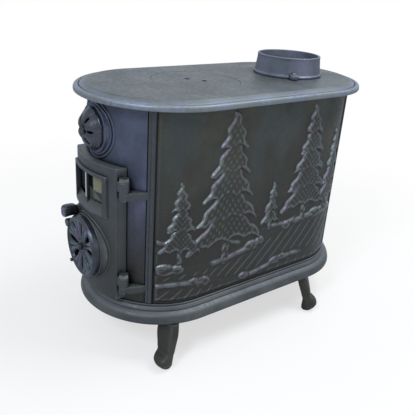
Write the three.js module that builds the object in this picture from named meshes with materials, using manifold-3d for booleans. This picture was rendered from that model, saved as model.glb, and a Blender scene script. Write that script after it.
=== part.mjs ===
// A cast-iron box stove with round ends, on four cast legs.
// Millimetres, +Z up. The door end faces -Y and the flue collar stands at the +Y end.
// Plan positions near an end are given from the centre of that end's half circle.
import * as THREE from "three";
import { mergeVertices } from "three/addons/utils/BufferGeometryUtils.js";
import { ParametricGeometry } from "three/addons/geometries/ParametricGeometry.js";
import Module from "manifold-3d";

// ---------- Driving dimensions ----------

const GAP = 0.3; // between castings that seat on each other
const ARC_STEPS = 24; // facets in each half circle of the plan

const STRAIGHT = 330; // length of the flat sides, between the half circles
const BODY_R = 155; // outside of the walls at the round ends
const WALL = 6;
const LEG_HEIGHT = 93; // floor to the rim of the base plate
const BODY_HEIGHT = 426.4; // the walls, from the base plate to the top plate

const BASE = {
  rimR: 178,
  rimWall: 6,
  underside: 20, // of the floor, above the rim
  floor: 8,
  wallSeat: 32.3, // bottom of the groove that holds the walls, above the rim
  innerLip: 4,
  lipHeight: 3,
  bead: 3.4,
  railX: 50,
  railWidth: 8,
  railTop: 56.7,
};

const TOP = {
  lipR: 183,
  fieldR: 159.5,
  thickness: 9,
  lipDrop: 17, // lip's lower edge below the field
  ribDepth: 5,
  ribWall: 3,
};

const LID = {
  r: 95,
  y: -87,
  thickness: 5,
  ledge: 7,
  fit: 0.5,
  pocketR: 6,
  pocketOut: 19, // lifter pockets, each side of the lid's middle
  pocketDepth: 5.5,
  pocketTurn: 39,
  bossR: 40,
  bossDepth: 9,
};

const COLLAR = {
  y: 182,
  topR: 73,
  footR: 77,
  flangeR: 80.4,
  flange: 5,
  height: 45,
  wall: 5,
  lugOut: 93,
  lugWidth: 20,
  lugHeight: 11,
  lugAngle: -34,
  screwR: 3,
};

// The channels that join the end walls to the side panels; angle is in degrees, the rest in mm.
const JOINT = { angle: 49.4, width: 5.2, lap: 8.3, proud: 4, lip: 3.5, foot: 6.5, head: 12 };

// The landscape cast on the side panels. It fills a field inside the panel's borders: places and
// sizes along the wall are shares of the field's length, and heights are shares of its height.
const LAND = {
  border: 2, // from the channels to the field
  foot: 5.5, // from the base plate's lip
  head: 11, // from the rib under the top plate
  root: 1, // how far the cast forms reach into the wall
  treeProud: 3.9, // at the foot of each tier
  treeThins: 0.5, // share of that which is lost by the tier's top
  rockProud: 3.8,
  trunk: 0.014,
  bends: 6, // round each corner
  weld: 0.05, // points nearer than this become one
  trees: [
    { at: 0.314, foot: 0.153, tall: 0.801, half: 0.182, tiers: 5 },
    { at: 0.748, foot: 0.272, tall: 0.667, half: 0.133, tiers: 5 },
    { at: 0.917, foot: 0.307, tall: 0.488, half: 0.083, tiers: 4 },
    { at: 0.098, foot: 0.218, tall: 0.418, half: 0.08, tiers: 3 },
    { at: 0.549, foot: 0.282, tall: 0.269, half: 0.051, tiers: 3 },
  ],
  hills: [
    { proud: 1.8, tops: [0.24, 0.19, 0.19, 0.28, 0.33, 0.28] },
    { proud: 2.8, tops: [0.14, 0.07, 0.1, 0.07, 0.05, 0.07] },
  ],
  rocks: [
    { at: 0.05, up: 0.125, half: 0.048, tall: 0.037 },
    { at: 0.163, up: 0.09, half: 0.028, tall: 0.025 },
    { at: 0.477, up: 0.239, half: 0.041, tall: 0.032 },
    { at: 0.845, up: 0.323, half: 0.039, tall: 0.03 },
  ],
};

const DOOR = {
  halfWidth: 85,
  outerR: 177,
  plate: 6,
  rimR: 158, // back of the door's rim
  rim: 9,
  bottom: 46, // above the base rim
  top: 332.5,
  mouthInset: 13, // shell's opening inside the door's outline
};

const WINDOW = {
  halfWidth: 57,
  bottom: 248,
  top: 302,
  frameR: 182,
  frameHalf: 66,
  frameBottom: 225,
  frameTop: 312,
  sillDrop: 18,
  headRise: 4,
  mullion: 5,
  paneThickness: 4,
  paneLap: 6,
  clip: 3,
  clipLap: 5,
  clipHeight: 11,
  screwR: 1.7,
  screwX: 34,
};

const SEAL = { inset: 3, width: 6 };

const LOWER_AIR = {
  z: 141.5, // above the base rim
  drumR: 68,
  drumFace: 181.5,
  wheelR: 66,
  wheelDepth: 14,
  faceWall: 5,
  slots: 8,
  slotIn: 22,
  slotOut: 54,
  slotShare: 0.42,
  boltR: 4,
  headR: 8,
};

const UPPER_AIR = {
  z: 389.7,
  drumR: 48,
  drumFace: 160,
  wheelR: 43,
  wheelDepth: 20,
  faceWall: 5,
  slots: 6,
  slotIn: 15,
  slotOut: 34,
  slotShare: 0.4,
  boltR: 4,
  headR: 7,
};

const HINGE = {
  x: 96,
  y: 145,
  pinR: 4.5,
  fit: 0.35,
  knuckleR: 10,
  headR: 10.4,
  headHeight: 8,
  arm: 15.5,
  knuckle: 20.5,
  bottoms: { upper: 272.5, lower: 65.5 }, // underside of each arm, above the base rim
};

const LATCH = {
  x: -58,
  z: 197,
  bossR: 12,
  bossFace: 173,
  hubR: 11,
  reach: 204,
  width: 17,
  height: 17,
  crown: 0.54, // where the grip arches highest, as a share of its run
  arch: 8.5,
  spindleR: 4.5,
  fit: 0.35,
  camOut: 113,
  camWall: 6,
  camWidth: 11,
  camLength: 33,
  camEyeR: 7.5,
};

// Leg tops and feet are counted from the centre of the nearer end; a toe's direction is in degrees.
const LEG = {
  front: { top: [152, -69], foot: [177, -89], toe: -75 },
  rear: { top: [155, 5], foot: [182, 7], toe: 45 },
  pad: 8,
  padWidth: 28,
  boltIn: 52, // bolt to leg, across the stove
  boltAlong: 16, // and along it, towards the middle
  boltR: 4,
  neck: 10,
};

const TIE = {
  x: 97,
  y: 88,
  r: 4.2,
  fit: 0.4,
  headR: 9,
  head: 6,
  bossR: 12,
  bossDepth: 14,
  thread: 10,
};

const BRICK = { length: 326, foot: 40, thick: 22, height: 210, shoulder: 75 };
const GRATE = { thickness: 9.5, slots: 11, slotWidth: 10, border: 20, bridge: 6 };
const GUARD = {
  height: 46,
  thickness: 6,
  width: 200,
  inset: 6,
  tabX: 70,
  tabHalf: 10,
  tabDepth: 6,
  fit: 0.4,
};
const REAR_BRICK = { width: 200, thickness: 25 };
const BAFFLE = { z: 365, thickness: 6, front: -130, back: 168, ledge: 10, ledgeHeight: 7, side: 2 };
const PAN = { halfWidth: 66, front: -290, back: 160, height: 40, wall: 2, pull: 18, pullWidth: 36 };

// ---------- Derived levels ----------

const baseRim = LEG_HEIGHT;
const floorUnder = baseRim + BASE.underside;
const floorTop = floorUnder + BASE.floor;
const wallFoot = baseRim + BASE.wallSeat + GAP;
const wallHead = wallFoot + BODY_HEIGHT;
const plateUnder = wallHead + GAP;
const topField = plateUnder + TOP.thickness;
const innerR = BODY_R - WALL;
const endY = STRAIGHT / 2; // centres of the round ends lie at -endY and +endY
const doorBottom = baseRim + DOOR.bottom;
const doorTop = baseRim + DOOR.top;
const doorPlateR = DOOR.outerR - DOOR.plate;
const mouthHalf = DOOR.halfWidth - DOOR.mouthInset;
const mouthBottom = doorBottom + DOOR.mouthInset - 2;
const mouthTop = doorTop - DOOR.mouthInset;

// ---------- Finishes ----------

const iron = (color, roughness) => new THREE.MeshStandardMaterial({ color, roughness, metalness: 0.55 });
const FINISH = {
  plate: iron(0x5a6064, 0.55),
  shell: iron(0x3d4149, 0.5),
  panel: iron(0x34363a, 0.55),
  fitting: iron(0x33353a, 0.45),
  steel: iron(0x6f7275, 0.4),
  grate: iron(0x2b2a29, 0.8),
  glass: new THREE.MeshStandardMaterial({
    color: 0x6d6a4e,
    roughness: 0.1,
    metalness: 0,
    transparent: true,
    opacity: 0.4,
  }),
  rope: new THREE.MeshStandardMaterial({ color: 0x8b8678, roughness: 0.95, metalness: 0 }),
  brick: new THREE.MeshStandardMaterial({ color: 0xa08a6c, roughness: 0.9, metalness: 0 }),
};

// ---------- Solids ----------

const wasm = await Module();
wasm.setup();

const rad = THREE.MathUtils.degToRad;

// Turns a closed three.js geometry into a solid; triangles that collapse at a pole are dropped.
function toSolid(geometry, weld = 1e-3) {
  const bare = geometry.clone();
  bare.deleteAttribute("normal");
  bare.deleteAttribute("uv");
  const merged = mergeVertices(bare, weld);
  const index = merged.index.array;
  const kept = [];
  for (let i = 0; i < index.length; i += 3) {
    const [a, b, c] = [index[i], index[i + 1], index[i + 2]];
    if (a !== b && b !== c && c !== a) kept.push(a, b, c);
  }
  const vertProperties = new Float32Array(merged.attributes.position.array);
  return new wasm.Manifold(new wasm.Mesh({ numProp: 3, vertProperties, triVerts: new Uint32Array(kept) }));
}

function toGeometry(solid) {
  const data = solid.getMesh();
  const geometry = new THREE.BufferGeometry();
  geometry.setAttribute("position", new THREE.BufferAttribute(new Float32Array(data.vertProperties), 3));
  geometry.setIndex(new THREE.BufferAttribute(new Uint32Array(data.triVerts), 1));
  return geometry;
}

function toMesh(name, solid, material) {
  const flat = toGeometry(solid).toNonIndexed();
  flat.computeVertexNormals();
  const mesh = new THREE.Mesh(flat, material);
  mesh.name = name;
  return mesh;
}

const join = (first, ...rest) => rest.reduce((sum, next) => sum.add(next), first);
const cut = (first, ...rest) => rest.reduce((sum, next) => sum.subtract(next), first);

// A block between two corners.
function block(x0, x1, y0, y1, z0, z1) {
  const geometry = new THREE.BoxGeometry(x1 - x0, y1 - y0, z1 - z0);
  geometry.translate((x0 + x1) / 2, (y0 + y1) / 2, (z0 + z1) / 2);
  return toSolid(geometry);
}

// An upright prism of a plan outline.
function prism(shape, z0, z1, curveSegments = ARC_STEPS) {
  const geometry = new THREE.ExtrudeGeometry(shape, { depth: z1 - z0, bevelEnabled: false, curveSegments });
  geometry.translate(0, 0, z0);
  return toSolid(geometry);
}

// An upright cylinder.
function post(x, y, z0, z1, r, sides = 24, topR = r) {
  const geometry = new THREE.CylinderGeometry(topR, r, z1 - z0, sides);
  geometry.rotateX(Math.PI / 2);
  geometry.translate(x, y, (z0 + z1) / 2);
  return toSolid(geometry);
}

// A cylinder along -Y at the door end; out0 and out1 are distances from the centre of the half circle.
function spigot(x, z, out0, out1, r, sides = 32, outerR = r) {
  const geometry = new THREE.CylinderGeometry(r, outerR, out1 - out0, sides);
  geometry.translate(x, -endY - (out0 + out1) / 2, z);
  return toSolid(geometry);
}

// Revolves an outline of [r, height] points; the outline closes on itself.
function turned(points, segments = 48) {
  const outline = [...points, points[0]].map(([r, h]) => new THREE.Vector2(r, h));
  const geometry = new THREE.LatheGeometry(outline, segments);
  geometry.rotateX(Math.PI / 2);
  return toSolid(geometry);
}

// The same outline revolved about an axis along -Y at the door end, its heights counted outwards.
function turnedOut(points, x, z, segments = 48) {
  const outline = [...points, points[0]].map(([r, h]) => new THREE.Vector2(r, h));
  const geometry = new THREE.LatheGeometry(outline, segments);
  geometry.rotateX(Math.PI);
  geometry.translate(x, -endY, z);
  return toSolid(geometry);
}

function stadium(r) {
  const shape = new THREE.Shape();
  shape.absarc(0, endY, r, 0, Math.PI, false);
  shape.absarc(0, -endY, r, Math.PI, 2 * Math.PI, false);
  shape.closePath();
  return shape;
}

// Sweeps a closed outline of [r, z] points round the plan of the stove.
function stadiumRing(points) {
  const around = 2 * (ARC_STEPS + 1);
  const place = (u, v, target) => {
    const [r, z] = points[Math.round(v * points.length) % points.length];
    const k = Math.round(u * around) % around;
    const rear = k <= ARC_STEPS;
    const angle = (Math.PI * (rear ? k : k - 1)) / ARC_STEPS;
    target.set(r * Math.cos(angle), r * Math.sin(angle) + (rear ? endY : -endY), z);
  };
  return toSolid(new ParametricGeometry(place, around, points.length));
}

// Plan outline of a stretch of wall at one round end; angles are counted from the door's direction.
const planAngle = (degrees) => rad(degrees - 90);

function arcBand(r0, r1, from, to) {
  const shape = new THREE.Shape();
  shape.absarc(0, -endY, r1, planAngle(from), planAngle(to), false);
  shape.absarc(0, -endY, r0, planAngle(to), planAngle(from), true);
  shape.closePath();
  return shape;
}

const turnAbout = (solid, degrees) => solid.rotate([0, 0, degrees]);
const mirrorX = (solid) => solid.mirror([1, 0, 0]);

// Wedge-shaped openings round an axis along -Y, starting at a given turn.
function airSlots(air, out0, out1, turn) {
  const step = 360 / air.slots;
  const half = (step * air.slotShare) / 2;
  const slots = [];
  for (let k = 0; k < air.slots; k += 1) {
    const middle = rad(turn + k * step);
    const shape = new THREE.Shape();
    shape.absarc(0, 0, air.slotOut, middle - rad(half), middle + rad(half), false);
    shape.absarc(0, 0, air.slotIn, middle + rad(half * 0.7), middle - rad(half * 0.7), true);
    shape.closePath();
    const depth = out1 - out0;
    const geometry = new THREE.ExtrudeGeometry(shape, { depth, bevelEnabled: false, curveSegments: 2 });
    geometry.rotateX(Math.PI / 2);
    geometry.translate(0, -endY - out0, baseRim + air.z);
    slots.push(toSolid(geometry));
  }
  return slots;
}

// A hexagon-headed bolt standing upright, head down.
function tieBolt(x, y, headBottom, head, headR, top, r) {
  const hexagon = post(x, y, headBottom, headBottom + head, headR, 6);
  return join(hexagon, post(x, y, headBottom + head - 1, top, r, 16));
}

const pieces = [];
const add = (name, solid, material) => pieces.push(toMesh(name, solid, material));

// ---------- Base plate ----------

const seatIn = innerR - GAP - 0.1;
const seatOut = BODY_R + GAP + 0.1;
const wallSeat = baseRim + BASE.wallSeat;

function skirtOutline() {
  const curve = new THREE.QuadraticBezierCurve(
    new THREE.Vector2(seatOut + 9.6, baseRim + 22),
    new THREE.Vector2(BASE.rimR - 1.6, baseRim + 13),
    new THREE.Vector2(BASE.rimR + 0.8, baseRim + 2.4),
  );
  const slope = curve.getPoints(4).map((p) => [p.x, p.y]);
  const beadZ = wallSeat + BASE.lipHeight;
  return [
    [seatIn - BASE.innerLip, floorUnder],
    [BASE.rimR - BASE.rimWall - 14, floorUnder],
    [BASE.rimR - BASE.rimWall, baseRim + 5],
    [BASE.rimR - BASE.rimWall, baseRim],
    [BASE.rimR, baseRim],
    ...slope.reverse(),
    [seatOut + 7.6, baseRim + 23],
    [seatOut + 8, baseRim + 25],
    [seatOut + 3.6, baseRim + 31],
    [seatOut + 1.6, baseRim + 33],
    [seatOut + BASE.bead, baseRim + 34.2],
    [seatOut + BASE.bead - 0.4, beadZ + 1.4],
    [seatOut + 1.2, beadZ + 2.2],
    [seatOut, beadZ + 1.2],
    [seatOut, wallSeat],
    [seatIn, wallSeat],
    [seatIn, wallSeat + BASE.lipHeight],
    [seatIn - BASE.innerLip, wallSeat + BASE.lipHeight],
  ];
}

const legSpots = [];
for (const side of [1, -1]) {
  for (const end of ["front", "rear"]) {
    const spot = LEG[end];
    const facing = end === "front" ? -1 : 1;
    legSpots.push({
      name: `${end}_${side > 0 ? "right" : "left"}`,
      x: side * spot.top[0],
      y: facing * endY + spot.top[1],
      splayX: side * (spot.foot[0] - spot.top[0]),
      splayY: spot.foot[1] - spot.top[1],
      toe: side > 0 ? spot.toe : 180 - spot.toe,
      side,
      facing,
    });
  }
}
// The bolt sits behind the leg, towards the middle of the stove.
const boltSpot = (leg) => ({ x: leg.x - leg.side * LEG.boltIn, y: leg.y - leg.facing * LEG.boltAlong });

const tieSpots = [];
for (const side of [1, -1]) {
  for (const end of [1, -1]) {
    tieSpots.push({
      name: `${end < 0 ? "front" : "rear"}_${side > 0 ? "right" : "left"}`,
      x: side * TIE.x,
      y: end * (endY + TIE.y),
    });
  }
}

const rails = [1, -1].map((side) => {
  const [x0, x1] = [-1, 1].map((edge) => side * BASE.railX + (edge * BASE.railWidth) / 2);
  return block(x0, x1, PAN.front + 8, PAN.back - 8, floorTop - 1, baseRim + BASE.railTop);
});
const floorHole = (spot, r) => post(spot.x, spot.y, baseRim, floorTop + 5, r + TIE.fit, 16);
const tieHoles = tieSpots.map((spot) => floorHole(spot, TIE.r));
const legHoles = legSpots.map((leg) => floorHole(boltSpot(leg), LEG.boltR));
const basePlate = cut(
  join(
    prism(stadium(seatIn - BASE.innerLip + 1), floorUnder, floorTop),
    stadiumRing(skirtOutline()),
    ...rails,
  ),
  ...tieHoles,
  ...legHoles,
);
add("base_plate", basePlate, FINISH.plate);

// ---------- Legs ----------

// A leg tapers to its ankle and ends in a rounded toe; each level is a share of its height.
const LEG_LEVELS = [
  { z: 1, splay: 0, out: 0, along: 12, across: 24 },
  { z: 0.75, splay: 0.3, out: 0, along: 10.5, across: 21.5 },
  { z: 0.5, splay: 0.6, out: 0, along: 9, across: 17 },
  { z: 0.4, splay: 0.72, out: 1, along: 9.5, across: 16.5 },
  { z: 0.33, splay: 0.8, out: 4, along: 13.5, across: 17.5 },
  { z: 0.25, splay: 0.88, out: 5, along: 15.5, across: 18 },
  { z: 0.16, splay: 0.94, out: 5, along: 15, across: 17.5 },
  { z: 0.06, splay: 1, out: 2, along: 12.5, across: 14.5 },
  { z: 0, splay: 1, out: 1, along: 9.5, across: 11.5 },
];

// In the leg's own surface u runs round it and v runs down it, from pole to pole.
function legBody(leg) {
  const sides = 16;
  const rows = LEG_LEVELS.length + 1;
  const toe = rad(leg.toe);
  const height = baseRim - GAP;
  const place = (u, v, target) => {
    const row = Math.round(v * rows);
    const level = LEG_LEVELS[THREE.MathUtils.clamp(row - 1, 0, LEG_LEVELS.length - 1)];
    const spread = row === 0 || row === rows ? 0 : 1;
    const angle = (-2 * Math.PI * (Math.round(u * sides) % sides)) / sides;
    const square = Math.pow(Math.pow(Math.cos(angle), 4) + Math.pow(Math.sin(angle), 4), -0.25);
    const along = level.out + spread * square * level.along * Math.cos(angle);
    const across = spread * square * level.across * Math.sin(angle);
    target.set(
      leg.x + level.splay * leg.splayX + along * Math.cos(toe) - across * Math.sin(toe),
      leg.y + level.splay * leg.splayY + along * Math.sin(toe) + across * Math.cos(toe),
      level.z * height,
    );
  };
  return toSolid(new ParametricGeometry(place, sides, rows));
}

// The pad lies under the base's floor, and the neck joins it to the leg behind the rim.
function legSolid(leg) {
  const bolt = boltSpot(leg);
  const [neckX, neckY] = [leg.x - leg.side * 10, leg.y - leg.facing * 7];
  const padTop = floorUnder - GAP;
  const [x0, x1] = [bolt.x - leg.side * 14, neckX + leg.side * LEG.neck].sort((a, b) => a - b);
  const [y0, y1] = [neckY, bolt.y].sort((a, b) => a - b);
  const pad = block(x0, x1, y0 - LEG.padWidth / 2, y1 + LEG.padWidth / 2, padTop - LEG.pad, padTop);
  const neck = block(
    neckX - LEG.neck,
    neckX + LEG.neck,
    neckY - LEG.neck,
    neckY + LEG.neck,
    baseRim - 14,
    padTop,
  );
  const inside = prism(stadium(BASE.rimR - BASE.rimWall - 17), baseRim - 20, padTop);
  const upper = join(pad, neck).intersect(inside);
  return cut(join(legBody(leg), upper), floorHole(bolt, LEG.boltR));
}

for (const leg of legSpots) {
  add(`leg_${leg.name}`, legSolid(leg), FINISH.fitting);
  const spot = boltSpot(leg);
  const headBottom = floorUnder - 2 * GAP - LEG.pad - TIE.head;
  const bolt = tieBolt(spot.x, spot.y, headBottom, TIE.head, TIE.headR, floorTop, LEG.boltR);
  add(`leg_bolt_${leg.name}`, bolt, FINISH.steel);
}

// ---------- Shell ----------

const wallDegrees = (length) => THREE.MathUtils.radToDeg(length / BODY_R);

// One end wall, with a channel down each edge that holds the side panel's edge.
function endWall() {
  const edge = JOINT.angle;
  const wall = prism(arcBand(innerR, BODY_R, -edge, edge), wallFoot, wallHead, 14);
  const channels = [1, -1].map((side) => {
    const reach = [edge - wallDegrees(JOINT.width), edge + wallDegrees(JOINT.lap)];
    const [from, to] = reach.map((a) => side * a).sort((a, b) => a - b);
    const [openFrom, openTo] = [edge, edge + 9].map((a) => side * a).sort((a, b) => a - b);
    const section = arcBand(innerR - JOINT.lip, BODY_R + JOINT.proud, from, to);
    const bar = prism(section, wallFoot + JOINT.foot, wallHead - JOINT.head, 3);
    const slot = arcBand(innerR - GAP, BODY_R + GAP, openFrom, openTo);
    return cut(bar, prism(slot, wallFoot - 5, wallHead + 5, 3));
  });
  return join(wall, ...channels);
}

// The lug arm reaches from the wall to the eye of the hinge pin.
function hingeArm(bottom) {
  const top = bottom + HINGE.arm;
  const eye = post(HINGE.x, -endY - HINGE.y, bottom, top, HINGE.knuckleR, 24);
  const arm = new THREE.Shape();
  arm.moveTo(HINGE.x - 7, -endY - HINGE.y + 2);
  arm.lineTo(HINGE.x + 3, -endY - HINGE.y - 9.5);
  arm.quadraticCurveTo(HINGE.x + 20, -endY - HINGE.y + 22, HINGE.x + 21.5, -endY - HINGE.y + 43);
  arm.lineTo(HINGE.x + 14, -endY - HINGE.y + 46);
  arm.lineTo(HINGE.x - 5, -endY - HINGE.y + 20);
  arm.closePath();
  return join(eye, prism(arm, bottom, top, 8));
}

const hingeBottoms = Object.entries(HINGE.bottoms).map(([name, z]) => ({ name, z: baseRim + z }));
const armHoles = hingeBottoms.map((h) =>
  post(HINGE.x, -endY - HINGE.y, h.z - 5, h.z + HINGE.arm + 5, HINGE.pinR + HINGE.fit, 16),
);
const insideOfWall = (() => {
  const shape = new THREE.Shape();
  shape.absarc(0, -endY, innerR + 1, 0, 2 * Math.PI, false);
  return prism(shape, wallFoot - 10, wallHead + 10, 48);
})();

const upperZ = baseRim + UPPER_AIR.z;
const drumWallR = UPPER_AIR.drumR - 8;
const upperDrum = cut(
  spigot(0, upperZ, 130, UPPER_AIR.drumFace, UPPER_AIR.drumR, 40),
  insideOfWall,
);
const mouth = block(-mouthHalf, mouthHalf, -endY - 200, -endY - 100, mouthBottom, mouthTop);
const frontShell = cut(
  join(endWall(), upperDrum, ...hingeBottoms.map((h) => cut(hingeArm(h.z), insideOfWall))),
  mouth,
  ...armHoles,
  spigot(0, upperZ, 120, UPPER_AIR.drumFace - UPPER_AIR.faceWall, drumWallR, 32),
  spigot(0, upperZ, 120, UPPER_AIR.drumFace + 5, UPPER_AIR.boltR + GAP, 16),
  ...airSlots(UPPER_AIR, 140, UPPER_AIR.drumFace + 5, 180 / UPPER_AIR.slots),
);
add("front_shell", frontShell, FINISH.shell);
add("rear_shell", turnAbout(endWall(), 180), FINISH.shell);

// The landscape is drawn flat, with its length along x and its height along y, and stands out along z.
const panelStart = JOINT.angle + wallDegrees(GAP);
const panelBend = rad(90 - panelStart) * BODY_R;
const fieldStart = JOINT.lap + LAND.border;
const fieldLength = 2 * (panelBend - fieldStart) + STRAIGHT;
const fieldFoot = BASE.lipHeight + LAND.foot;
const fieldHeight = BODY_HEIGHT - fieldFoot - TOP.ribDepth - LAND.head;
const fieldX = (share) => fieldStart + share * fieldLength;
const fieldY = (share) => fieldFoot + share * fieldHeight;

// A form with an outline in shares of the field, as proud as given at its foot and thinner at its top.
function castForm(outline, proud, thins = 0) {
  const corners = outline.map(([x, y]) => new THREE.Vector2(fieldX(x), fieldY(y)));
  const low = Math.min(...corners.map((corner) => corner.y));
  const high = Math.max(...corners.map((corner) => corner.y));
  const depth = LAND.root + proud;
  const geometry = new THREE.ExtrudeGeometry(new THREE.Shape(corners), { depth, bevelEnabled: false });
  const points = geometry.attributes.position;
  for (let i = 0; i < points.count; i += 1) {
    const loss = (thins * proud * (points.getY(i) - low)) / (high - low);
    points.setZ(i, points.getZ(i) > 0 ? proud - loss : -LAND.root);
  }
  return toSolid(geometry);
}

// A fir: a trunk under overlapping tiers of boughs, each narrower than the one below.
function fir(tree) {
  const trunk = [
    [tree.at - LAND.trunk, tree.foot],
    [tree.at + LAND.trunk, tree.foot],
    [tree.at, tree.foot + tree.tall / 2],
  ];
  const tiers = Array.from({ length: tree.tiers }, (_, k) => {
    const share = k / tree.tiers;
    const low = tree.foot + tree.tall * (0.17 + 0.74 * share);
    const rise = Math.min(tree.tall * (0.34 - 0.1 * share), tree.foot + tree.tall - low);
    const half = tree.half * (1 - 0.78 * Math.pow(share, 0.85));
    const outline = [
      [tree.at - half, low],
      [tree.at + half, low],
      [tree.at, low + rise],
    ];
    return castForm(outline, LAND.treeProud, LAND.treeThins);
  });
  return join(castForm(trunk, LAND.treeProud, LAND.treeThins), ...tiers);
}

// A range of hills, from the field's foot up to its line of tops.
function hillRange(range) {
  const tops = range.tops.map((y, k) => [k / (range.tops.length - 1), y]);
  return castForm([[0, 0], [1, 0], ...tops.reverse()], range.proud);
}

// A boulder: a low frustum with an oval foot.
function boulder(rock) {
  const geometry = new THREE.CylinderGeometry(0.6, 1, LAND.rockProud + LAND.root, 7);
  geometry.rotateX(Math.PI / 2);
  geometry.scale(rock.half * fieldLength, rock.tall * fieldHeight, 1);
  geometry.translate(fieldX(rock.at), fieldY(rock.up), (LAND.rockProud - LAND.root) / 2);
  return toSolid(geometry);
}

// The place on the right-hand wall, at a length from the panel's door end and a distance out.
function onWall(along, out) {
  const angle = (Math.min(along - panelBend, 0) + Math.max(along - panelBend - STRAIGHT, 0)) / BODY_R;
  const centre = THREE.MathUtils.clamp(along - panelBend, 0, STRAIGHT) - endY;
  const r = BODY_R + out;
  return new THREE.Vector2(r * Math.cos(angle), centre + r * Math.sin(angle));
}

// The landscape bends at these lengths, clear of the edges between the wall's own facets.
const bends = Array.from({ length: LAND.bends }, (_, k) => ((k + 0.5) * panelBend) / LAND.bends);
const farBends = bends.map((length) => length + panelBend + STRAIGHT);
const panelLines = [0, ...bends, ...farBends, 2 * panelBend + STRAIGHT];

function onFacet(point) {
  const line = panelLines.findIndex((length) => length >= point.x);
  const [from, to] = [panelLines[line - 1], panelLines[line]];
  const place = onWall(from, point.z).lerp(onWall(to, point.z), (point.x - from) / (to - from));
  return new THREE.Vector3(place.x, place.y, wallFoot + point.y);
}

// The part of a triangle on one side of a line across the wall, as triangles.
function clipped(corners, x, side) {
  const kept = [];
  corners.forEach((corner, i) => {
    const next = corners[(i + 1) % 3];
    const [here, there] = [side * (corner.x - x), side * (next.x - x)];
    if (here >= 0) kept.push(corner);
    if (here * there < 0) {
      const [low, high] = corner.x < next.x ? [corner, next] : [next, corner];
      kept.push(low.clone().lerp(high, (x - low.x) / (high.x - low.x)).setX(x));
    }
  });
  return kept.slice(2).map((corner, i) => [kept[0], kept[i + 1], corner]);
}

// The landscape is split at the facets' edges and bent with them.
function landscape() {
  const flat = join(...LAND.hills.map(hillRange), ...LAND.trees.map(fir), ...LAND.rocks.map(boulder));
  const points = toGeometry(flat).toNonIndexed().attributes.position;
  const corner = (i) => new THREE.Vector3().fromBufferAttribute(points, i);
  const whole = Array.from({ length: points.count / 3 }, (_, k) => [0, 1, 2].map((i) => corner(3 * k + i)));
  const split = panelLines.reduce(
    (faces, x) => faces.flatMap((face) => [...clipped(face, x, 1), ...clipped(face, x, -1)]),
    whole,
  );
  return toSolid(new THREE.BufferGeometry().setFromPoints(split.flat().map(onFacet)), LAND.weld);
}

// A side panel runs from channel to channel, round both corners, with a ledge inside for the baffle.
function sidePanel() {
  const shape = new THREE.Shape();
  shape.absarc(0, -endY, BODY_R, planAngle(panelStart), 0, false);
  shape.absarc(0, endY, BODY_R, 0, -planAngle(panelStart), false);
  shape.absarc(0, endY, innerR, -planAngle(panelStart), 0, true);
  shape.absarc(0, -endY, innerR, 0, planAngle(panelStart), true);
  shape.closePath();
  const ledgeZ = baseRim + BAFFLE.z;
  const ledge = block(
    innerR - BAFFLE.ledge,
    innerR + 1,
    BAFFLE.front + 30,
    BAFFLE.back - 8,
    ledgeZ - GAP - BAFFLE.ledgeHeight,
    ledgeZ - GAP,
  );
  return join(prism(shape, wallFoot, wallHead, 9), ledge, landscape());
}

add("side_panel_right", sidePanel(), FINISH.panel);
add("side_panel_left", mirrorX(sidePanel()), FINISH.panel);

// ---------- Top plate, hotplate lid, flue collar ----------

function lipOutline() {
  const lipFoot = topField - TOP.lipDrop;
  const bead = new THREE.QuadraticBezierCurve(
    new THREE.Vector2(TOP.lipR - 11.4, topField - 5.6),
    new THREE.Vector2(TOP.lipR - 1, topField - 3.4),
    new THREE.Vector2(TOP.lipR, lipFoot + 2),
  );
  const outside = bead.getPoints(4).map((p) => [p.x, p.y]);
  const ribIn = BODY_R + GAP + 0.1;
  return [
    [innerR - 12, topField],
    [innerR - 12, plateUnder],
    [ribIn, plateUnder],
    [ribIn, plateUnder - TOP.ribDepth],
    [ribIn + TOP.ribWall, plateUnder - TOP.ribDepth],
    [ribIn + TOP.ribWall, plateUnder],
    [TOP.lipR - 9, plateUnder - 3],
    [TOP.lipR - 4, lipFoot + 1],
    [TOP.lipR - 0.8, lipFoot],
    ...outside.reverse(),
    [TOP.lipR - 12.4, topField - 6.2],
    [TOP.fieldR + 1.4, topField - 0.8],
    [TOP.fieldR, topField],
  ];
}

const bossFoot = plateUnder - TIE.bossDepth;
const tieBosses = tieSpots.map((s) => post(s.x, s.y, bossFoot, plateUnder + 1, TIE.bossR, 20));
const tieSockets = tieSpots.map((s) =>
  post(s.x, s.y, bossFoot - 2, bossFoot + TIE.thread + 1, TIE.r + TIE.fit, 16),
);
const collarLugs = [COLLAR.lugAngle, COLLAR.lugAngle + 180].map((angle) => ({
  angle,
  x: (COLLAR.lugOut - 7) * Math.cos(rad(angle)),
  y: COLLAR.y + (COLLAR.lugOut - 7) * Math.sin(rad(angle)),
}));
const screwHole = (lug) => post(lug.x, lug.y, plateUnder - 5, topField + 30, COLLAR.screwR + GAP, 12);
const flueBoreR = COLLAR.topR - COLLAR.wall;
const topPlate = cut(
  join(prism(stadium(innerR - 11), plateUnder, topField), stadiumRing(lipOutline()), ...tieBosses),
  ...tieSockets,
  post(0, LID.y, topField - LID.thickness - GAP, topField + 5, LID.r + LID.fit, 48),
  post(0, LID.y, plateUnder - 5, topField + 5, LID.r - LID.ledge, 40),
  post(0, COLLAR.y, plateUnder - 5, topField + 5, flueBoreR - 2, 32),
  ...collarLugs.map(screwHole),
);
add("top_plate", topPlate, FINISH.plate);

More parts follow.
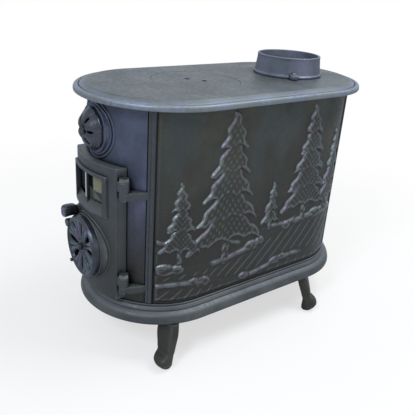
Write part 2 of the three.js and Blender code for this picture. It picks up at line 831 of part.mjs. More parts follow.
const pockets = [1, -1].map((side) => {
  const turn = rad(LID.pocketTurn);
  const [x, y] = [Math.cos(turn), Math.sin(turn)].map((share) => side * LID.pocketOut * share);
  return post(x, LID.y + y, topField - LID.pocketDepth, topField + 5, LID.pocketR, 16);
});
const lid = cut(
  join(
    post(0, LID.y, topField - LID.thickness, topField, LID.r, 48),
    post(0, LID.y, topField - LID.bossDepth, topField - LID.thickness + 1, LID.bossR, 24),
  ),
  ...pockets,
);
add("hotplate_lid", lid, FINISH.plate);

const collarFoot = topField + GAP;
const collarTop = topField + COLLAR.height;
function collarSolid() {
  const wallSolid = turned([
    [COLLAR.footR - COLLAR.wall, collarFoot],
    [COLLAR.flangeR, collarFoot],
    [COLLAR.flangeR, collarFoot + COLLAR.flange - 1.5],
    [COLLAR.flangeR - 1.5, collarFoot + COLLAR.flange],
    [COLLAR.footR, collarFoot + COLLAR.flange + 1.5],
    [COLLAR.topR, collarTop - 1],
    [COLLAR.topR - 1, collarTop],
    [COLLAR.topR - COLLAR.wall, collarTop],
  ], 36).translate([0, COLLAR.y, 0]);
  const bore = post(0, COLLAR.y, collarFoot - 5, collarTop + 5, flueBoreR, 36);
  const lugs = collarLugs.map((lug) => {
    const half = COLLAR.lugWidth / 2;
    const lugTop = collarFoot + COLLAR.lugHeight;
    const bar = block(flueBoreR + 2, COLLAR.lugOut - 4, -half, half, collarFoot, lugTop);
    const end = post(COLLAR.lugOut - 7, 0, collarFoot, lugTop, half, 16);
    return join(bar, end).rotate([0, 0, lug.angle]).translate([0, COLLAR.y, 0]);
  });
  return cut(join(wallSolid, ...lugs), bore, ...collarLugs.map(screwHole));
}
add("flue_collar", collarSolid(), FINISH.shell);

collarLugs.forEach((lug, k) => {
  const seat = collarFoot + COLLAR.lugHeight + GAP;
  const screw = join(
    post(lug.x, lug.y, seat, seat + 4, 6, 16, 4.5),
    post(lug.x, lug.y, plateUnder, seat + 1, COLLAR.screwR, 12),
  );
  add(`collar_screw_${k + 1}`, screw, FINISH.steel);
});

// ---------- Tie bolts ----------

for (const spot of tieSpots) {
  const headBottom = floorUnder - GAP - TIE.head;
  const bolt = tieBolt(
    spot.x,
    spot.y,
    headBottom,
    TIE.head,
    TIE.headR,
    bossFoot + TIE.thread,
    TIE.r,
  );
  add(`tie_bolt_${spot.name}`, bolt, FINISH.steel);
}

// ---------- Door ----------

// Part of the door's curved body: a round band about the end's centre, cut off square at the sides.
function curvedSlab(r0, r1, half, z0, z1) {
  const ring = new THREE.Shape();
  ring.absarc(0, -endY, r1, 0, 2 * Math.PI, false);
  const hole = new THREE.Path();
  hole.absarc(0, -endY, r0, 0, 2 * Math.PI, true);
  ring.holes.push(hole);
  return prism(ring, z0, z1, 72).intersect(block(-half, half, -endY - 220, -endY - 60, z0 - 1, z1 + 1));
}

const lowerZ = baseRim + LOWER_AIR.z;
const latchZ = baseRim + LATCH.z;
const windowBottom = baseRim + WINDOW.bottom;
const windowTop = baseRim + WINDOW.top;

function windowCut() {
  const outer = WINDOW.frameR + 4;
  const slope = (outer - doorPlateR) / (WINDOW.frameR - doorPlateR);
  const outline = [
    [doorPlateR - 8, windowBottom],
    [doorPlateR + 1, windowBottom],
    [outer, windowBottom - WINDOW.sillDrop * slope],
    [outer, windowTop + WINDOW.headRise * slope],
    [doorPlateR + 1, windowTop],
    [doorPlateR - 8, windowTop],
  ];
  const sweep = turned(outline, 72).translate([0, -endY, 0]);
  const span = block(
    -WINDOW.halfWidth,
    WINDOW.halfWidth,
    -endY - 220,
    -endY - 60,
    windowBottom - 60,
    windowTop + 60,
  );
  return sweep.intersect(span);
}

// The panes are flat, one each side of the mullion, with their edges against the curved plate.
const paneHalf = WINDOW.halfWidth + WINDOW.paneLap;
const paneRunIn = 1.2;
const chord = (x, r) => Math.sqrt(r * r - x * x);
const paneFace = [
  { x: paneRunIn, out: chord(paneRunIn, doorPlateR) - GAP },
  { x: paneHalf, out: chord(paneHalf, doorPlateR) - GAP },
];
const paneLength = Math.hypot(paneFace[1].x - paneFace[0].x, paneFace[1].out - paneFace[0].out);
const paneTilt = Math.atan2(paneFace[0].out - paneFace[1].out, paneFace[1].x - paneFace[0].x);

// A flat strip behind the pane line: depth0 and depth1 are counted inwards from the panes' outer face.
function paneStrip(depth0, depth1, extra, z0, z1) {
  const geometry = new THREE.BoxGeometry(paneLength + extra, depth1 - depth0, z1 - z0);
  geometry.translate((paneLength + extra) / 2, (depth0 + depth1) / 2, (z0 + z1) / 2);
  geometry.rotateZ(paneTilt);
  geometry.translate(paneFace[0].x, -endY - paneFace[0].out, 0);
  return toSolid(geometry);
}

const clipLevels = [
  { name: "bottom", z0: windowBottom - WINDOW.paneLap - WINDOW.clipHeight + WINDOW.clipLap, screw: 3.2 },
  { name: "top", z0: windowTop + WINDOW.paneLap - WINDOW.clipLap, screw: WINDOW.clipHeight - 3.2 },
];
const clipScrews = clipLevels.flatMap((clip) =>
  [1, -1].map((side) => ({
    name: `${clip.name}_${side > 0 ? "right" : "left"}`,
    x: side * WINDOW.screwX,
    z: clip.z0 + clip.screw,
  })),
);
const clipFaceOut = paneFace[0].out - (WINDOW.screwX - paneRunIn) * Math.tan(paneTilt);
const clipBack = clipFaceOut - (WINDOW.paneThickness + WINDOW.clip + 2 * GAP) / Math.cos(paneTilt);

function doorSolid() {
  const inside = DOOR.halfWidth - DOOR.rim;
  const body = cut(
    curvedSlab(DOOR.rimR, DOOR.outerR, DOOR.halfWidth, doorBottom, doorTop),
    curvedSlab(DOOR.rimR - 5, doorPlateR, inside, doorBottom + DOOR.rim, doorTop - DOOR.rim),
  );
  const frame = curvedSlab(
    doorPlateR + 1,
    WINDOW.frameR,
    WINDOW.frameHalf,
    baseRim + WINDOW.frameBottom,
    baseRim + WINDOW.frameTop,
  );
  const mullion = block(
    -WINDOW.mullion / 2,
    WINDOW.mullion / 2,
    -endY - WINDOW.frameR + 1,
    -endY - doorPlateR,
    windowBottom - WINDOW.sillDrop - 2,
    windowTop + WINDOW.headRise,
  );
  const drum = spigot(0, lowerZ, doorPlateR - 14, LOWER_AIR.drumFace, LOWER_AIR.drumR, 40);
  const drumInside = spigot(0, lowerZ, 120, LOWER_AIR.drumFace - LOWER_AIR.faceWall, LOWER_AIR.drumR - 6, 32);
  const latchBoss = spigot(LATCH.x, latchZ, doorPlateR - 9, LATCH.bossFace, LATCH.bossR, 24);
  const knuckles = hingeBottoms.map((h) => {
    const z0 = h.z + HINGE.arm + GAP;
    const web = block(
      DOOR.halfWidth - 4,
      HINGE.x,
      -endY - HINGE.y - HINGE.knuckleR + 1,
      -endY - HINGE.y + HINGE.knuckleR - 5,
      z0,
      z0 + HINGE.knuckle,
    );
    return join(post(HINGE.x, -endY - HINGE.y, z0, z0 + HINGE.knuckle, HINGE.knuckleR, 24), web);
  });
  const knuckleHoles = hingeBottoms.map((h) =>
    post(HINGE.x, -endY - HINGE.y, h.z, h.z + HINGE.arm + HINGE.knuckle + 5, HINGE.pinR + HINGE.fit, 16),
  );
  return cut(
    join(cut(join(body, frame), windowCut()), mullion, drum, latchBoss, ...knuckles),
    drumInside,
    ...knuckleHoles,
    spigot(LATCH.x, latchZ, 120, LATCH.bossFace + 5, LATCH.spindleR + LATCH.fit, 16),
    spigot(0, lowerZ, 150, LOWER_AIR.drumFace + 5, LOWER_AIR.boltR + GAP, 16),
    ...airSlots(LOWER_AIR, 165, LOWER_AIR.drumFace + 5, 180 / LOWER_AIR.slots),
    ...clipScrews.map((s) => spigot(s.x, s.z, 150, chord(s.x, doorPlateR) + 3.5, WINDOW.screwR + GAP, 12)),
  );
}
add("door", doorSolid(), FINISH.shell);

function sealSolid() {
  const [low, high] = [doorBottom + SEAL.inset, doorTop - SEAL.inset];
  const half = DOOR.halfWidth - SEAL.inset;
  const band = curvedSlab(BODY_R + GAP, DOOR.rimR - GAP, half, low, high);
  const inner = half - SEAL.width;
  return cut(band, block(-inner, inner, -endY - 220, -endY - 60, low + SEAL.width, high - SEAL.width));
}
add("door_rope_seal", sealSolid(), FINISH.rope);

const paneZ = [windowBottom - WINDOW.paneLap, windowTop + WINDOW.paneLap];
const pane = paneStrip(0, WINDOW.paneThickness, 0, ...paneZ);
add("window_pane_right", pane, FINISH.glass);
add("window_pane_left", mirrorX(pane), FINISH.glass);

const screwPassage = clipScrews.map((s) => spigot(s.x, s.z, 120, DOOR.outerR, WINDOW.screwR + GAP, 12));
for (const clip of clipLevels) {
  const depth = WINDOW.paneThickness + GAP;
  const half = paneStrip(depth, depth + WINDOW.clip, 2, clip.z0, clip.z0 + WINDOW.clipHeight);
  const out = paneFace[0].out - depth;
  const back = -endY - out + 0.8;
  const bridge = block(-3, 3, back, back + WINDOW.clip, clip.z0, clip.z0 + WINDOW.clipHeight);
  add(`glass_clip_${clip.name}`, cut(join(half, mirrorX(half), bridge), ...screwPassage), FINISH.steel);
}
for (const screw of clipScrews) {
  const tip = chord(screw.x, doorPlateR) + 3;
  const seat = clipBack - 1.2;
  const solid = join(
    spigot(screw.x, screw.z, seat, tip, WINDOW.screwR, 12),
    spigot(screw.x, screw.z, seat - 2, seat, 3.4, 16),
  );
  add(`clip_screw_${screw.name}`, solid, FINISH.steel);
}

// ---------- Hinge pins ----------

for (const h of hingeBottoms) {
  const seat = h.z + HINGE.arm + HINGE.knuckle + 2 * GAP;
  const pin = join(
    post(HINGE.x, -endY - HINGE.y, h.z - 3, seat + 1, HINGE.pinR, 16),
    post(HINGE.x, -endY - HINGE.y, seat, seat + HINGE.headHeight, HINGE.headR, 6),
  );
  add(`hinge_pin_${h.name}`, pin, FINISH.steel);
}

// ---------- Air wheels ----------

function lowerWheel() {
  const a = LOWER_AIR;
  const foot = a.drumFace + GAP;
  const face = foot + a.wheelDepth;
  const boltHole = a.boltR + GAP;
  const dish = turnedOut(
    [
      [boltHole, foot],
      [a.wheelR, foot],
      [a.wheelR, face - 5],
      [a.wheelR - 3, face - 1],
      [a.wheelR - 7, face],
      [a.wheelR - 11, face - 3],
      [a.slotIn, face - 7],
      [a.slotIn - 5, face - 4],
      [a.headR + 1, face - 3],
      [boltHole, face - 3],
    ],
    0,
    lowerZ,
    40,
  );
  const lugs = [
    { angle: 158, r: a.wheelR + 2, size: 5.5 },
    { angle: 230, r: a.wheelR + 2, size: 4 },
  ].map(({ angle, r, size }) =>
    spigot(r * Math.cos(rad(angle)), lowerZ + r * Math.sin(rad(angle)), face - 7, face + 2, size, 12),
  );
  return cut(join(dish, ...lugs), ...airSlots(a, foot - 2, face + 5, 0));
}

function upperWheel() {
  const a = UPPER_AIR;
  const foot = a.drumFace + GAP;
  const face = foot + a.wheelDepth;
  const boltHole = a.boltR + GAP;
  const bell = turnedOut(
    [
      [boltHole, foot],
      [a.wheelR, foot],
      [a.wheelR, foot + 5],
      [a.wheelR - 4, foot + 7],
      [a.slotOut - 9, face - 3],
      [a.slotIn + 5, face],
      [a.slotIn - 2, face],
      [a.headR + 2, face - 4],
      [boltHole, face - 4],
    ],
    0,
    upperZ,
    32,
  );
  return cut(bell, ...airSlots(a, foot - 2, face + 5, 0));
}

add("lower_air_wheel", lowerWheel(), FINISH.fitting);
add("upper_air_wheel", upperWheel(), FINISH.fitting);

// The bolt's head holds the wheel; its nut bears on the back of the drum's face.
for (const [name, a, z, sink] of [
  ["lower", LOWER_AIR, lowerZ, 3],
  ["upper", UPPER_AIR, upperZ, 4],
]) {
  const seat = a.drumFace + 2 * GAP + a.wheelDepth - sink;
  const back = a.drumFace - a.faceWall - GAP;
  const shank = spigot(0, z, back - 7, seat + 1, a.boltR, 16);
  const head = spigot(0, z, seat, seat + 6, a.headR, 20, a.headR * 0.7);
  add(`${name}_air_bolt`, join(shank, head), FINISH.steel);
  const bore = spigot(0, z, back - 9, back + 3, a.boltR + GAP, 16);
  const nut = cut(spigot(0, z, back - 5, back, a.headR, 6), bore);
  add(`${name}_air_nut`, nut, FINISH.steel);
}

// ---------- Latch ----------

// The grip arches outwards from the hub; its outline is drawn in the plane of its length.
function latchHandle() {
  const hubFoot = LATCH.bossFace + GAP;
  const half = LATCH.height / 2;
  const middle = hubFoot + (LATCH.reach - hubFoot) * LATCH.crown;
  const side = new THREE.Shape();
  side.moveTo(hubFoot + 2, -half + 1);
  side.lineTo(hubFoot + 2, half - 1);
  side.quadraticCurveTo(middle, half + LATCH.arch, LATCH.reach - 2, half);
  side.lineTo(LATCH.reach, -half + 2);
  side.quadraticCurveTo(middle, -half + LATCH.arch, hubFoot + 2, -half + 1);
  const grip = new THREE.ExtrudeGeometry(side, {
    depth: LATCH.width - 4,
    bevelThickness: 2,
    bevelSize: 1.6,
    bevelSegments: 2,
    curveSegments: 8,
  });
  grip.translate(0, 0, -(LATCH.width - 4) / 2);
  grip.rotateX(Math.PI / 2);
  grip.rotateZ(-Math.PI / 2);
  grip.translate(LATCH.x, -endY, latchZ);
  const hub = spigot(LATCH.x, latchZ, hubFoot, hubFoot + 9, LATCH.hubR, 24);
  const spindle = spigot(LATCH.x, latchZ, LATCH.camOut - LATCH.camWall - 4, hubFoot + 1, LATCH.spindleR, 16);
  return join(toSolid(grip), hub, spindle);
}
add("latch_handle", latchHandle(), FINISH.fitting);

// The cam points up while the door is free, and turns to the left to hold it shut.
function latchCam() {
  const half = LATCH.camWidth / 2;
  const out = [LATCH.camOut - LATCH.camWall, LATCH.camOut];
  const bar = block(
    LATCH.x - half,
    LATCH.x + half,
    -endY - out[1],
    -endY - out[0],
    latchZ,
    latchZ + LATCH.camLength,
  );
  const eye = spigot(LATCH.x, latchZ, out[0], out[1], LATCH.camEyeR, 20);
  return cut(join(bar, eye), spigot(LATCH.x, latchZ, out[0] - 3, out[1] + 3, LATCH.spindleR + GAP, 16));
}
add("latch_cam", latchCam(), FINISH.steel);

// ---------- Firebox furniture ----------

const brickHalf = BRICK.length / 2;
const brickTop = floorTop + GAP + BRICK.height;
const shoulderZ = floorTop + GAP + BRICK.shoulder;
const brickOut = seatIn - BASE.innerLip - GAP;
function sideBrick() {
  return join(
    block(brickOut - BRICK.foot, brickOut, -brickHalf, brickHalf, floorTop + GAP, shoulderZ),
    block(brickOut - BRICK.thick, brickOut, -brickHalf, brickHalf, shoulderZ - 1, brickTop),
  );
}
add("side_brick_right", sideBrick(), FINISH.brick);
add("side_brick_left", mirrorX(sideBrick()), FINISH.brick);

const rearY = brickHalf + 1;
add(
  "rear_brick",
  block(
    -REAR_BRICK.width / 2,
    REAR_BRICK.width / 2,
    rearY,
    rearY + REAR_BRICK.thickness,
    floorTop + GAP,
    brickTop,
  ),
  FINISH.brick,
);

const grateHalf = brickOut - BRICK.thick - 1;
const grateTop = shoulderZ + GAP + GRATE.thickness;
function grateSolid() {
  const slab = block(-grateHalf, grateHalf, -brickHalf, brickHalf, shoulderZ + GAP, grateTop);
  const run = 2 * brickHalf - 2 * GRATE.border;
  const pitch = run / GRATE.slots;
  const slotEnd = grateHalf - BRICK.foot + BRICK.thick - 4;
  const slots = [];
  for (let k = 0; k < GRATE.slots; k += 1) {
    const y = -brickHalf + GRATE.border + (k + 0.5) * pitch;
    for (const side of [1, -1]) {
      const [x0, x1] = [side * GRATE.bridge, side * slotEnd].sort((a, b) => a - b);
      const [y0, y1] = [y - GRATE.slotWidth / 2, y + GRATE.slotWidth / 2];
      slots.push(block(x0, x1, y0, y1, shoulderZ - 2, grateTop + 2));
    }
  }
  return cut(slab, ...slots, ...guardTabs(GUARD.fit));
}

// The guard stands on the grate, with two tabs let into it; clearance widens them into their slots.
const guardFront = -brickHalf + GUARD.inset;
function guardTabs(clearance) {
  return [1, -1].map((side) =>
    block(
      side * GUARD.tabX - GUARD.tabHalf - clearance,
      side * GUARD.tabX + GUARD.tabHalf + clearance,
      guardFront - clearance,
      guardFront + GUARD.thickness + clearance,
      grateTop - GUARD.tabDepth - clearance,
      grateTop + 1,
    ),
  );
}
function logGuard() {
  const foot = grateTop + GAP;
  const half = GUARD.width / 2;
  const plate = block(-half, half, guardFront, guardFront + GUARD.thickness, foot, foot + GUARD.height);
  return join(plate, ...guardTabs(0));
}
add("grate", grateSolid(), FINISH.grate);
add("log_guard", logGuard(), FINISH.grate);

const baffleZ = baseRim + BAFFLE.z;
const baffleHalf = innerR - BAFFLE.side;
add(
  "baffle_plate",
  block(-baffleHalf, baffleHalf, BAFFLE.front, BAFFLE.back, baffleZ, baffleZ + BAFFLE.thickness),
  FINISH.grate,
);

function ashPan() {
  const bottom = baseRim + BASE.railTop + GAP;
  const top = bottom + PAN.height;
  const w = PAN.wall;
  const tray = cut(
    block(-PAN.halfWidth, PAN.halfWidth, PAN.front, PAN.back, bottom, top),
    block(-PAN.halfWidth + w, PAN.halfWidth - w, PAN.front + w, PAN.back - w, bottom + w, top + 5),
  );
  const half = PAN.pullWidth / 2;
  const pull = cut(
    block(-half, half, PAN.front - PAN.pull, PAN.front + 1, bottom + 18, bottom + 23),
    block(-half + 6, half - 6, PAN.front - PAN.pull + 6, PAN.front - 0.01, bottom + 10, bottom + 30),
  );
  return join(tray, pull);
}
add("ash_pan", ashPan(), FINISH.steel);

// ---------- Assembly ----------

// The origin lies on the floor, in the middle of the stove's whole plan.
const stove = new THREE.Group();
stove.add(...pieces);
stove.position.y = -new THREE.Box3().setFromObject(stove).getCenter(new THREE.Vector3()).y;
const assembly = new THREE.Group();
assembly.add(stove);

export default assembly;
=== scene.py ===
"""A cast-iron box stove with round ends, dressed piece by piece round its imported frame.

Sizes in the classes are millimetres in the frame's own axes: +Z up, the door end faces -Y.
"""

import logging
import math
from dataclasses import dataclass, field
from enum import Enum
from typing import Optional, Protocol, Sequence, Union

import bmesh
import bpy
import numpy as np
from mathutils import Matrix, Vector


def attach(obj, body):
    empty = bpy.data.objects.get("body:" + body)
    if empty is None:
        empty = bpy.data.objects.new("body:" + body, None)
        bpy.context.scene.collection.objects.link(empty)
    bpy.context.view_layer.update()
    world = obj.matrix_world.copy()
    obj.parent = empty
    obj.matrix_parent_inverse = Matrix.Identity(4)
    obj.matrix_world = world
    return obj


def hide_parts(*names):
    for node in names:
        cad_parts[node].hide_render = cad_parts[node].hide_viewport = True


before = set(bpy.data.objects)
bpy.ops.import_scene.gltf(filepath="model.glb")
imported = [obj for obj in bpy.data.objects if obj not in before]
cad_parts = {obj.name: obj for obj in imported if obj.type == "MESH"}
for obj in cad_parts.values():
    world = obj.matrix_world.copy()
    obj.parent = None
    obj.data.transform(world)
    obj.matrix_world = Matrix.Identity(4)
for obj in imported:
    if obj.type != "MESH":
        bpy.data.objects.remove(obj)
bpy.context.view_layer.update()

MM = 0.001
SAME_SPOT = 2e-6  # Metres within which two points are merged.
NO_LENGTH = 1e-7  # Metres below which an edge is dropped.
Array = np.ndarray
Socket = bpy.types.NodeSocket
Colour = tuple[float, float, float]
Place = tuple[float, float, float]
log = logging.getLogger("stove")


# ---------- Surfaces ----------


@dataclass
class Surface:
    """Points in millimetres, with faces as rows of point numbers.

    Attributes:
        points: one row of x, y, z for each point.
        quads: one row of four point numbers for each face.
        caps: many-sided faces, each a row of point numbers.
        wear_and_light: how scuffed each point is and how much painted highlight it gets, from 0 to
            1, or None.
    """

    points: Array
    quads: Array
    caps: list[Array] = field(default_factory=list)
    wear_and_light: Optional[Array] = None


def join(*parts: Surface) -> Surface:
    """Puts several surfaces into one, each keeping its own points.

    Args:
        parts: the surfaces.

    Returns:
        One surface with all the points and faces.
    """
    starts = np.cumsum([0] + [len(part.points) for part in parts])
    return Surface(
        np.concatenate([part.points for part in parts]),
        np.concatenate([part.quads + start for part, start in zip(parts, starts)]),
        [cap + start for part, start in zip(parts, starts) for cap in part.caps],
    )


def numbered(rows: int, columns: int, wrap_rows: bool, wrap_columns: bool = False) -> Array:
    """Point numbers of a grid, with the first row or column again where it wraps."""
    number = np.arange(rows * columns).reshape(rows, columns)
    if wrap_rows:
        number = np.concatenate([number, number[:1]])
    if wrap_columns:
        number = np.concatenate([number, number[:, :1]], axis=1)
    return number


def cells(number: Array) -> Array:
    """The four point numbers round each cell of a grid."""
    return np.stack([number[:-1, :-1], number[1:, :-1], number[1:, 1:], number[:-1, 1:]], -1)


def sheet(grid: Array, wrap_rows: bool = False, wrap_columns: bool = False) -> Surface:
    """One quad between each four neighbouring points of a grid.

    Args:
        grid: points by row and column.
        wrap_rows: joins the last row to the first.
        wrap_columns: joins the last column to the first.

    Returns:
        The sheet.
    """
    number = numbered(*grid.shape[:2], wrap_rows, wrap_columns)
    return Surface(grid.reshape(-1, 3), cells(number).reshape(-1, 4))


def plate(front: Array, back: Array, keep: Array, wrap_rows: bool = False) -> Surface:
    """A wall between two grids of points, with openings.

    The cells marked in keep get a face on the front grid and one on the back grid, and each
    border between a kept cell and a left-out one gets a face from front to back.

    Args:
        front: outer points by row and column.
        back: inner points, in the same order.
        keep: true for each cell of the grid that is solid.
        wrap_rows: joins the last row of cells to the first.

    Returns:
        A closed surface.
    """
    rows, columns = front.shape[:2]
    count = rows * columns
    number = numbered(rows, columns, wrap_rows)
    faces = cells(number)[keep]
    if wrap_rows:
        by_row = np.concatenate([keep[-1:], keep])
    else:
        by_row = np.pad(keep, ((1, 1), (0, 0)))
    i, j = np.nonzero(by_row[1:] != by_row[:-1])
    across = np.stack([number[i, j], number[i, j + 1]], -1)
    by_column = np.pad(keep, ((0, 0), (1, 1)))
    i, j = np.nonzero(by_column[:, 1:] != by_column[:, :-1])
    along = np.stack([number[i, j], number[i + 1, j]], -1)
    edges = np.concatenate([across, along])
    walls = np.concatenate([edges, edges[:, ::-1] + count], axis=1)
    points = np.concatenate([front.reshape(-1, 3), back.reshape(-1, 3)])
    return Surface(points, np.concatenate([faces, faces[:, ::-1] + count, walls]))


def stations(*breaks: float, step: float) -> Array:
    """Rising values that meet every break exactly, at most one step apart."""
    parts = []
    for low, high in zip(breaks[:-1], breaks[1:]):
        count = max(1, math.ceil((high - low) / step))
        parts.append(np.linspace(low, high, count, endpoint=False))
    return np.concatenate([*parts, [breaks[-1]]])


def middles(values: Array) -> Array:
    """The value halfway between each two neighbours."""
    return (values[1:] + values[:-1]) / 2


def smooth_step(value: Array, low: float, high: float) -> Array:
    """0 below low, 1 above high, and t * t * (3 - 2 * t) between them."""
    t = np.clip((value - low) / (high - low), 0, 1)
    return t * t * (3 - 2 * t)


def rounded(corners: Sequence[tuple[float, float, float]], steps: int = 5) -> Array:
    """A closed outline with its corners rounded.

    Each corner becomes a quadratic curve that starts and ends at its radius from the corner,
    on the two lines that meet there: (1-t)^2 A + 2t(1-t) B + t^2 C.

    Args:
        corners: rows of first coordinate, second coordinate and radius.
        steps: points on each corner.

    Returns:
        The outline's points, two numbers each.
    """
    rows = np.array(corners, float)
    middle, radius = rows[:, :2], rows[:, 2:]
    before, after = np.roll(middle, 1, 0) - middle, np.roll(middle, -1, 0) - middle
    start = middle + before / np.linalg.norm(before, axis=1, keepdims=True) * radius
    end = middle + after / np.linalg.norm(after, axis=1, keepdims=True) * radius
    t = np.linspace(0, 1, steps)[None, :, None]
    start, middle, end = start[:, None], middle[:, None], end[:, None]
    curve = (1 - t) ** 2 * start + 2 * t * (1 - t) * middle + t**2 * end
    points = curve.reshape(-1, 2)
    return points[np.linalg.norm(points - np.roll(points, 1, 0), axis=1) > 1e-6]


@dataclass(frozen=True)
class Axis:
    """An axis through x, y, z that stands upright, or points out of the door end."""

    x: float
    y: float
    z: float
    outward: bool = False

    def place(self, a: Array, b: Array, h: Array) -> Array:
        """Points from two distances square to the axis and one along it."""
        a, b, h = np.broadcast_arrays(a, b, h)
        if self.outward:
            return np.stack([self.x + a, self.y - h, self.z + b], -1)
        return np.stack([self.x + a, self.y + b, self.z + h], -1)


def turned(outline: Array, axis: Axis, steps: int = 96) -> Surface:
    """A closed outline of radius and height, turned about an axis: a = r cos t, b = r sin t."""
    angle = np.linspace(0, 2 * np.pi, steps, endpoint=False)[:, None]
    radius, height = outline[None, :, 0], outline[None, :, 1]
    grid = axis.place(radius * np.cos(angle), radius * np.sin(angle), height)
    return sheet(grid, wrap_rows=True, wrap_columns=True)


def prism(outline: Array, low: float, high: float, axis: Axis) -> Surface:
    """A flat outline carried straight along an axis, closed by a many-sided face at each end."""
    levels = np.array([low, high])[:, None]
    grid = axis.place(outline[None, :, 0], outline[None, :, 1], levels)
    surface = sheet(grid, wrap_columns=True)
    count = len(outline)
    surface.caps = [np.arange(count), np.arange(count) + count]
    return surface


def bar(x: Sequence[float], y: Sequence[float], z: Sequence[float]) -> Surface:
    """A rectangular bar between two values on each axis."""
    outline = np.array([[x[0], y[0]], [x[1], y[0]], [x[1], y[1]], [x[0], y[1]]], float)
    return prism(outline, z[0], z[1], Axis(0, 0, 0))


def circle(radius: float, steps: int = 64) -> Array:
    """A round outline."""
    angle = np.linspace(0, 2 * np.pi, steps, endpoint=False)
    return radius * np.stack([np.cos(angle), np.sin(angle)], -1)


def eased(shares: Array, rows: Array, steps: int) -> Array:
    """A smooth run through rows of numbers.

    Between two rows it is the cubic whose slopes at the rows are those of the line between
    their neighbours.

    Args:
        shares: where each row stands, rising.
        rows: one row of numbers for each share.
        steps: how many rows come out.

    Returns:
        Rows at even steps from the first share to the last.
    """
    slopes = np.gradient(rows, shares, axis=0)
    at = np.linspace(shares[0], shares[-1], steps)
    k = np.clip(np.searchsorted(shares, at) - 1, 0, len(shares) - 2)
    width = (shares[k + 1] - shares[k])[:, None]
    t = (at[:, None] - shares[k][:, None]) / width
    first = (2 * t**3 - 3 * t**2 + 1) * rows[k] + (t**3 - 2 * t**2 + t) * width * slopes[k]
    second = (3 * t**2 - 2 * t**3) * rows[k + 1] + (t**3 - t**2) * width * slopes[k + 1]
    return first + second


# ---------- The stove's plan ----------


@dataclass(frozen=True)
class Plan:
    """The plan of the stove: two half circles joined by straight sides.

    Attributes:
        front, rear: centres of the two half circles, along Y.
        wall, wall_inside: radii of the walls' faces.
        foot, head: heights of the walls' ends.
        arc_steps, straight_steps: faces round each half circle and along each side.
        bulge_wear_and_light: how fast scuffing and painted highlight grow with the turn at a bulge
            of a swept outline.
        face_wear_and_light: scuffing and painted highlight of a whole face that is lightly scuffed
            and lit.
        face_blend: distance over which that scuffing and highlight set in.
    """

    front: float = -153.8
    rear: float = 176.2
    wall: float = 155.0
    wall_inside: float = 149.0
    foot: float = 125.6
    head: float = 552.0
    arc_steps: int = 96
    straight_steps: int = 24
    bulge_wear_and_light: float = 2.2
    face_wear_and_light: float = 0.4
    face_blend: float = 3.0

    @property
    def middle(self) -> float:
        """Halfway between the two ends, along Y."""
        return (self.front + self.rear) / 2

    def swept(self, outline: Array, polished_and_lit: Optional[float] = None) -> Surface:
        """A closed outline carried round the plan.

        At each end x = r cos t and y = end + r sin t, and along the sides the outline moves
        from one end's centre to the other's; a radius of 0 lies on the line between them. An
        outline that starts and ends on that line meets itself there, so its last point isn't
        joined to its first.

        Args:
            outline: rows of distance from the middle line, and height, clockwise.
            polished_and_lit: distance beyond which the whole face is lightly scuffed and given
                painted highlight, if it is.

        Returns:
            A closed surface, scuffed and given painted highlight where its outline bulges.
        """
        arc = np.linspace(0, np.pi, self.arc_steps + 1)
        sides = np.linspace(self.rear, self.front, self.straight_steps + 1)[1:-1]
        turns = [arc, np.full_like(sides, np.pi), arc + np.pi, np.zeros_like(sides)]
        ends = [np.full_like(arc, self.rear), sides, np.full_like(arc, self.front), sides[::-1]]
        angle = np.concatenate(turns)[:, None]
        along = np.concatenate(ends)[:, None]
        radius, height = outline[:, 0], outline[:, 1]
        x = radius * np.cos(angle)
        y = along + radius * np.sin(angle)
        ring = radius[0] > 0 or radius[-1] > 0
        surface = sheet(np.stack([x, y, np.broadcast_to(height, x.shape)], -1), True, ring)
        step = np.roll(outline, -1, 0) - outline
        heading = np.arctan2(step[:, 1], step[:, 0])
        bend = np.sin(np.roll(heading, 1) - heading)
        # Bulges are scuffed and lightened with painted highlight, and so is the whole face beyond
        # the given distance.
        rub_and_light = np.clip(bend * self.bulge_wear_and_light, 0, 1) * (radius > 1)
        if polished_and_lit is not None:
            rub_and_light += self.face_wear_and_light * smooth_step(radius, polished_and_lit, polished_and_lit + self.face_blend)
        surface.wear_and_light = np.broadcast_to(np.clip(rub_and_light, 0, 1), x.shape).ravel()
        return surface

    def front_skin(self, radius: float, x: Array, z: Array) -> Array:
        """A grid on the door end's round: out = sqrt(radius^2 - x^2) from the end's centre."""
        across, up = np.meshgrid(x, z, indexing="ij")
        return np.stack([across, self.front - np.sqrt(radius**2 - across**2), up], -1)

    def arc_skin(self, radius: float, degrees: Array, z: Array, rear: bool = False) -> Array:
        """A grid on an end's round, by the angle t from straight out of it.

        x = r sin t, and y = end - r cos t at the door end or end + r cos t at the rear.
        """
        angle, up = np.meshgrid(np.radians(degrees), z, indexing="ij")
        way = 1 if rear else -1
        end = self.rear if rear else self.front
        return np.stack([radius * np.sin(angle), end + way * radius * np.cos(angle), up], -1)

    def draped(self, outline: Array, z: float, base: float, steps: int = 96) -> Surface:
        """A ring that follows the door end's round.

        A point of the outline has a ring radius and a height above the round:
        x = ring cos t, z = centre + ring sin t, out = sqrt((base + height)^2 - x^2).

        Args:
            outline: rows of ring radius and height, closed.
            z: height of the ring's centre.
            base: radius of the round it lies on.
            steps: points round the ring.

        Returns:
            A closed surface.
        """
        angle = np.linspace(0, 2 * np.pi, steps, endpoint=False)[:, None]
        ring, height = outline[None, :, 0], outline[None, :, 1]
        x = ring * np.cos(angle)
        out = np.sqrt((base + height) ** 2 - x**2)
        grid = np.stack([x, self.front - out, z + ring * np.sin(angle)], -1)
        return sheet(grid, wrap_rows=True, wrap_columns=True)

    def out_axis(self, x: float, z: float) -> Axis:
        """An axis that points out of the door end, its heights counted from the end's centre."""
        return Axis(x, self.front, z, outward=True)


PLAN = Plan()


# ---------- Finishes ----------


class Weave(Enum):
    """How the door seal's yarn lies."""

    BRAIDED = 1.0
    TWISTED = 0.0


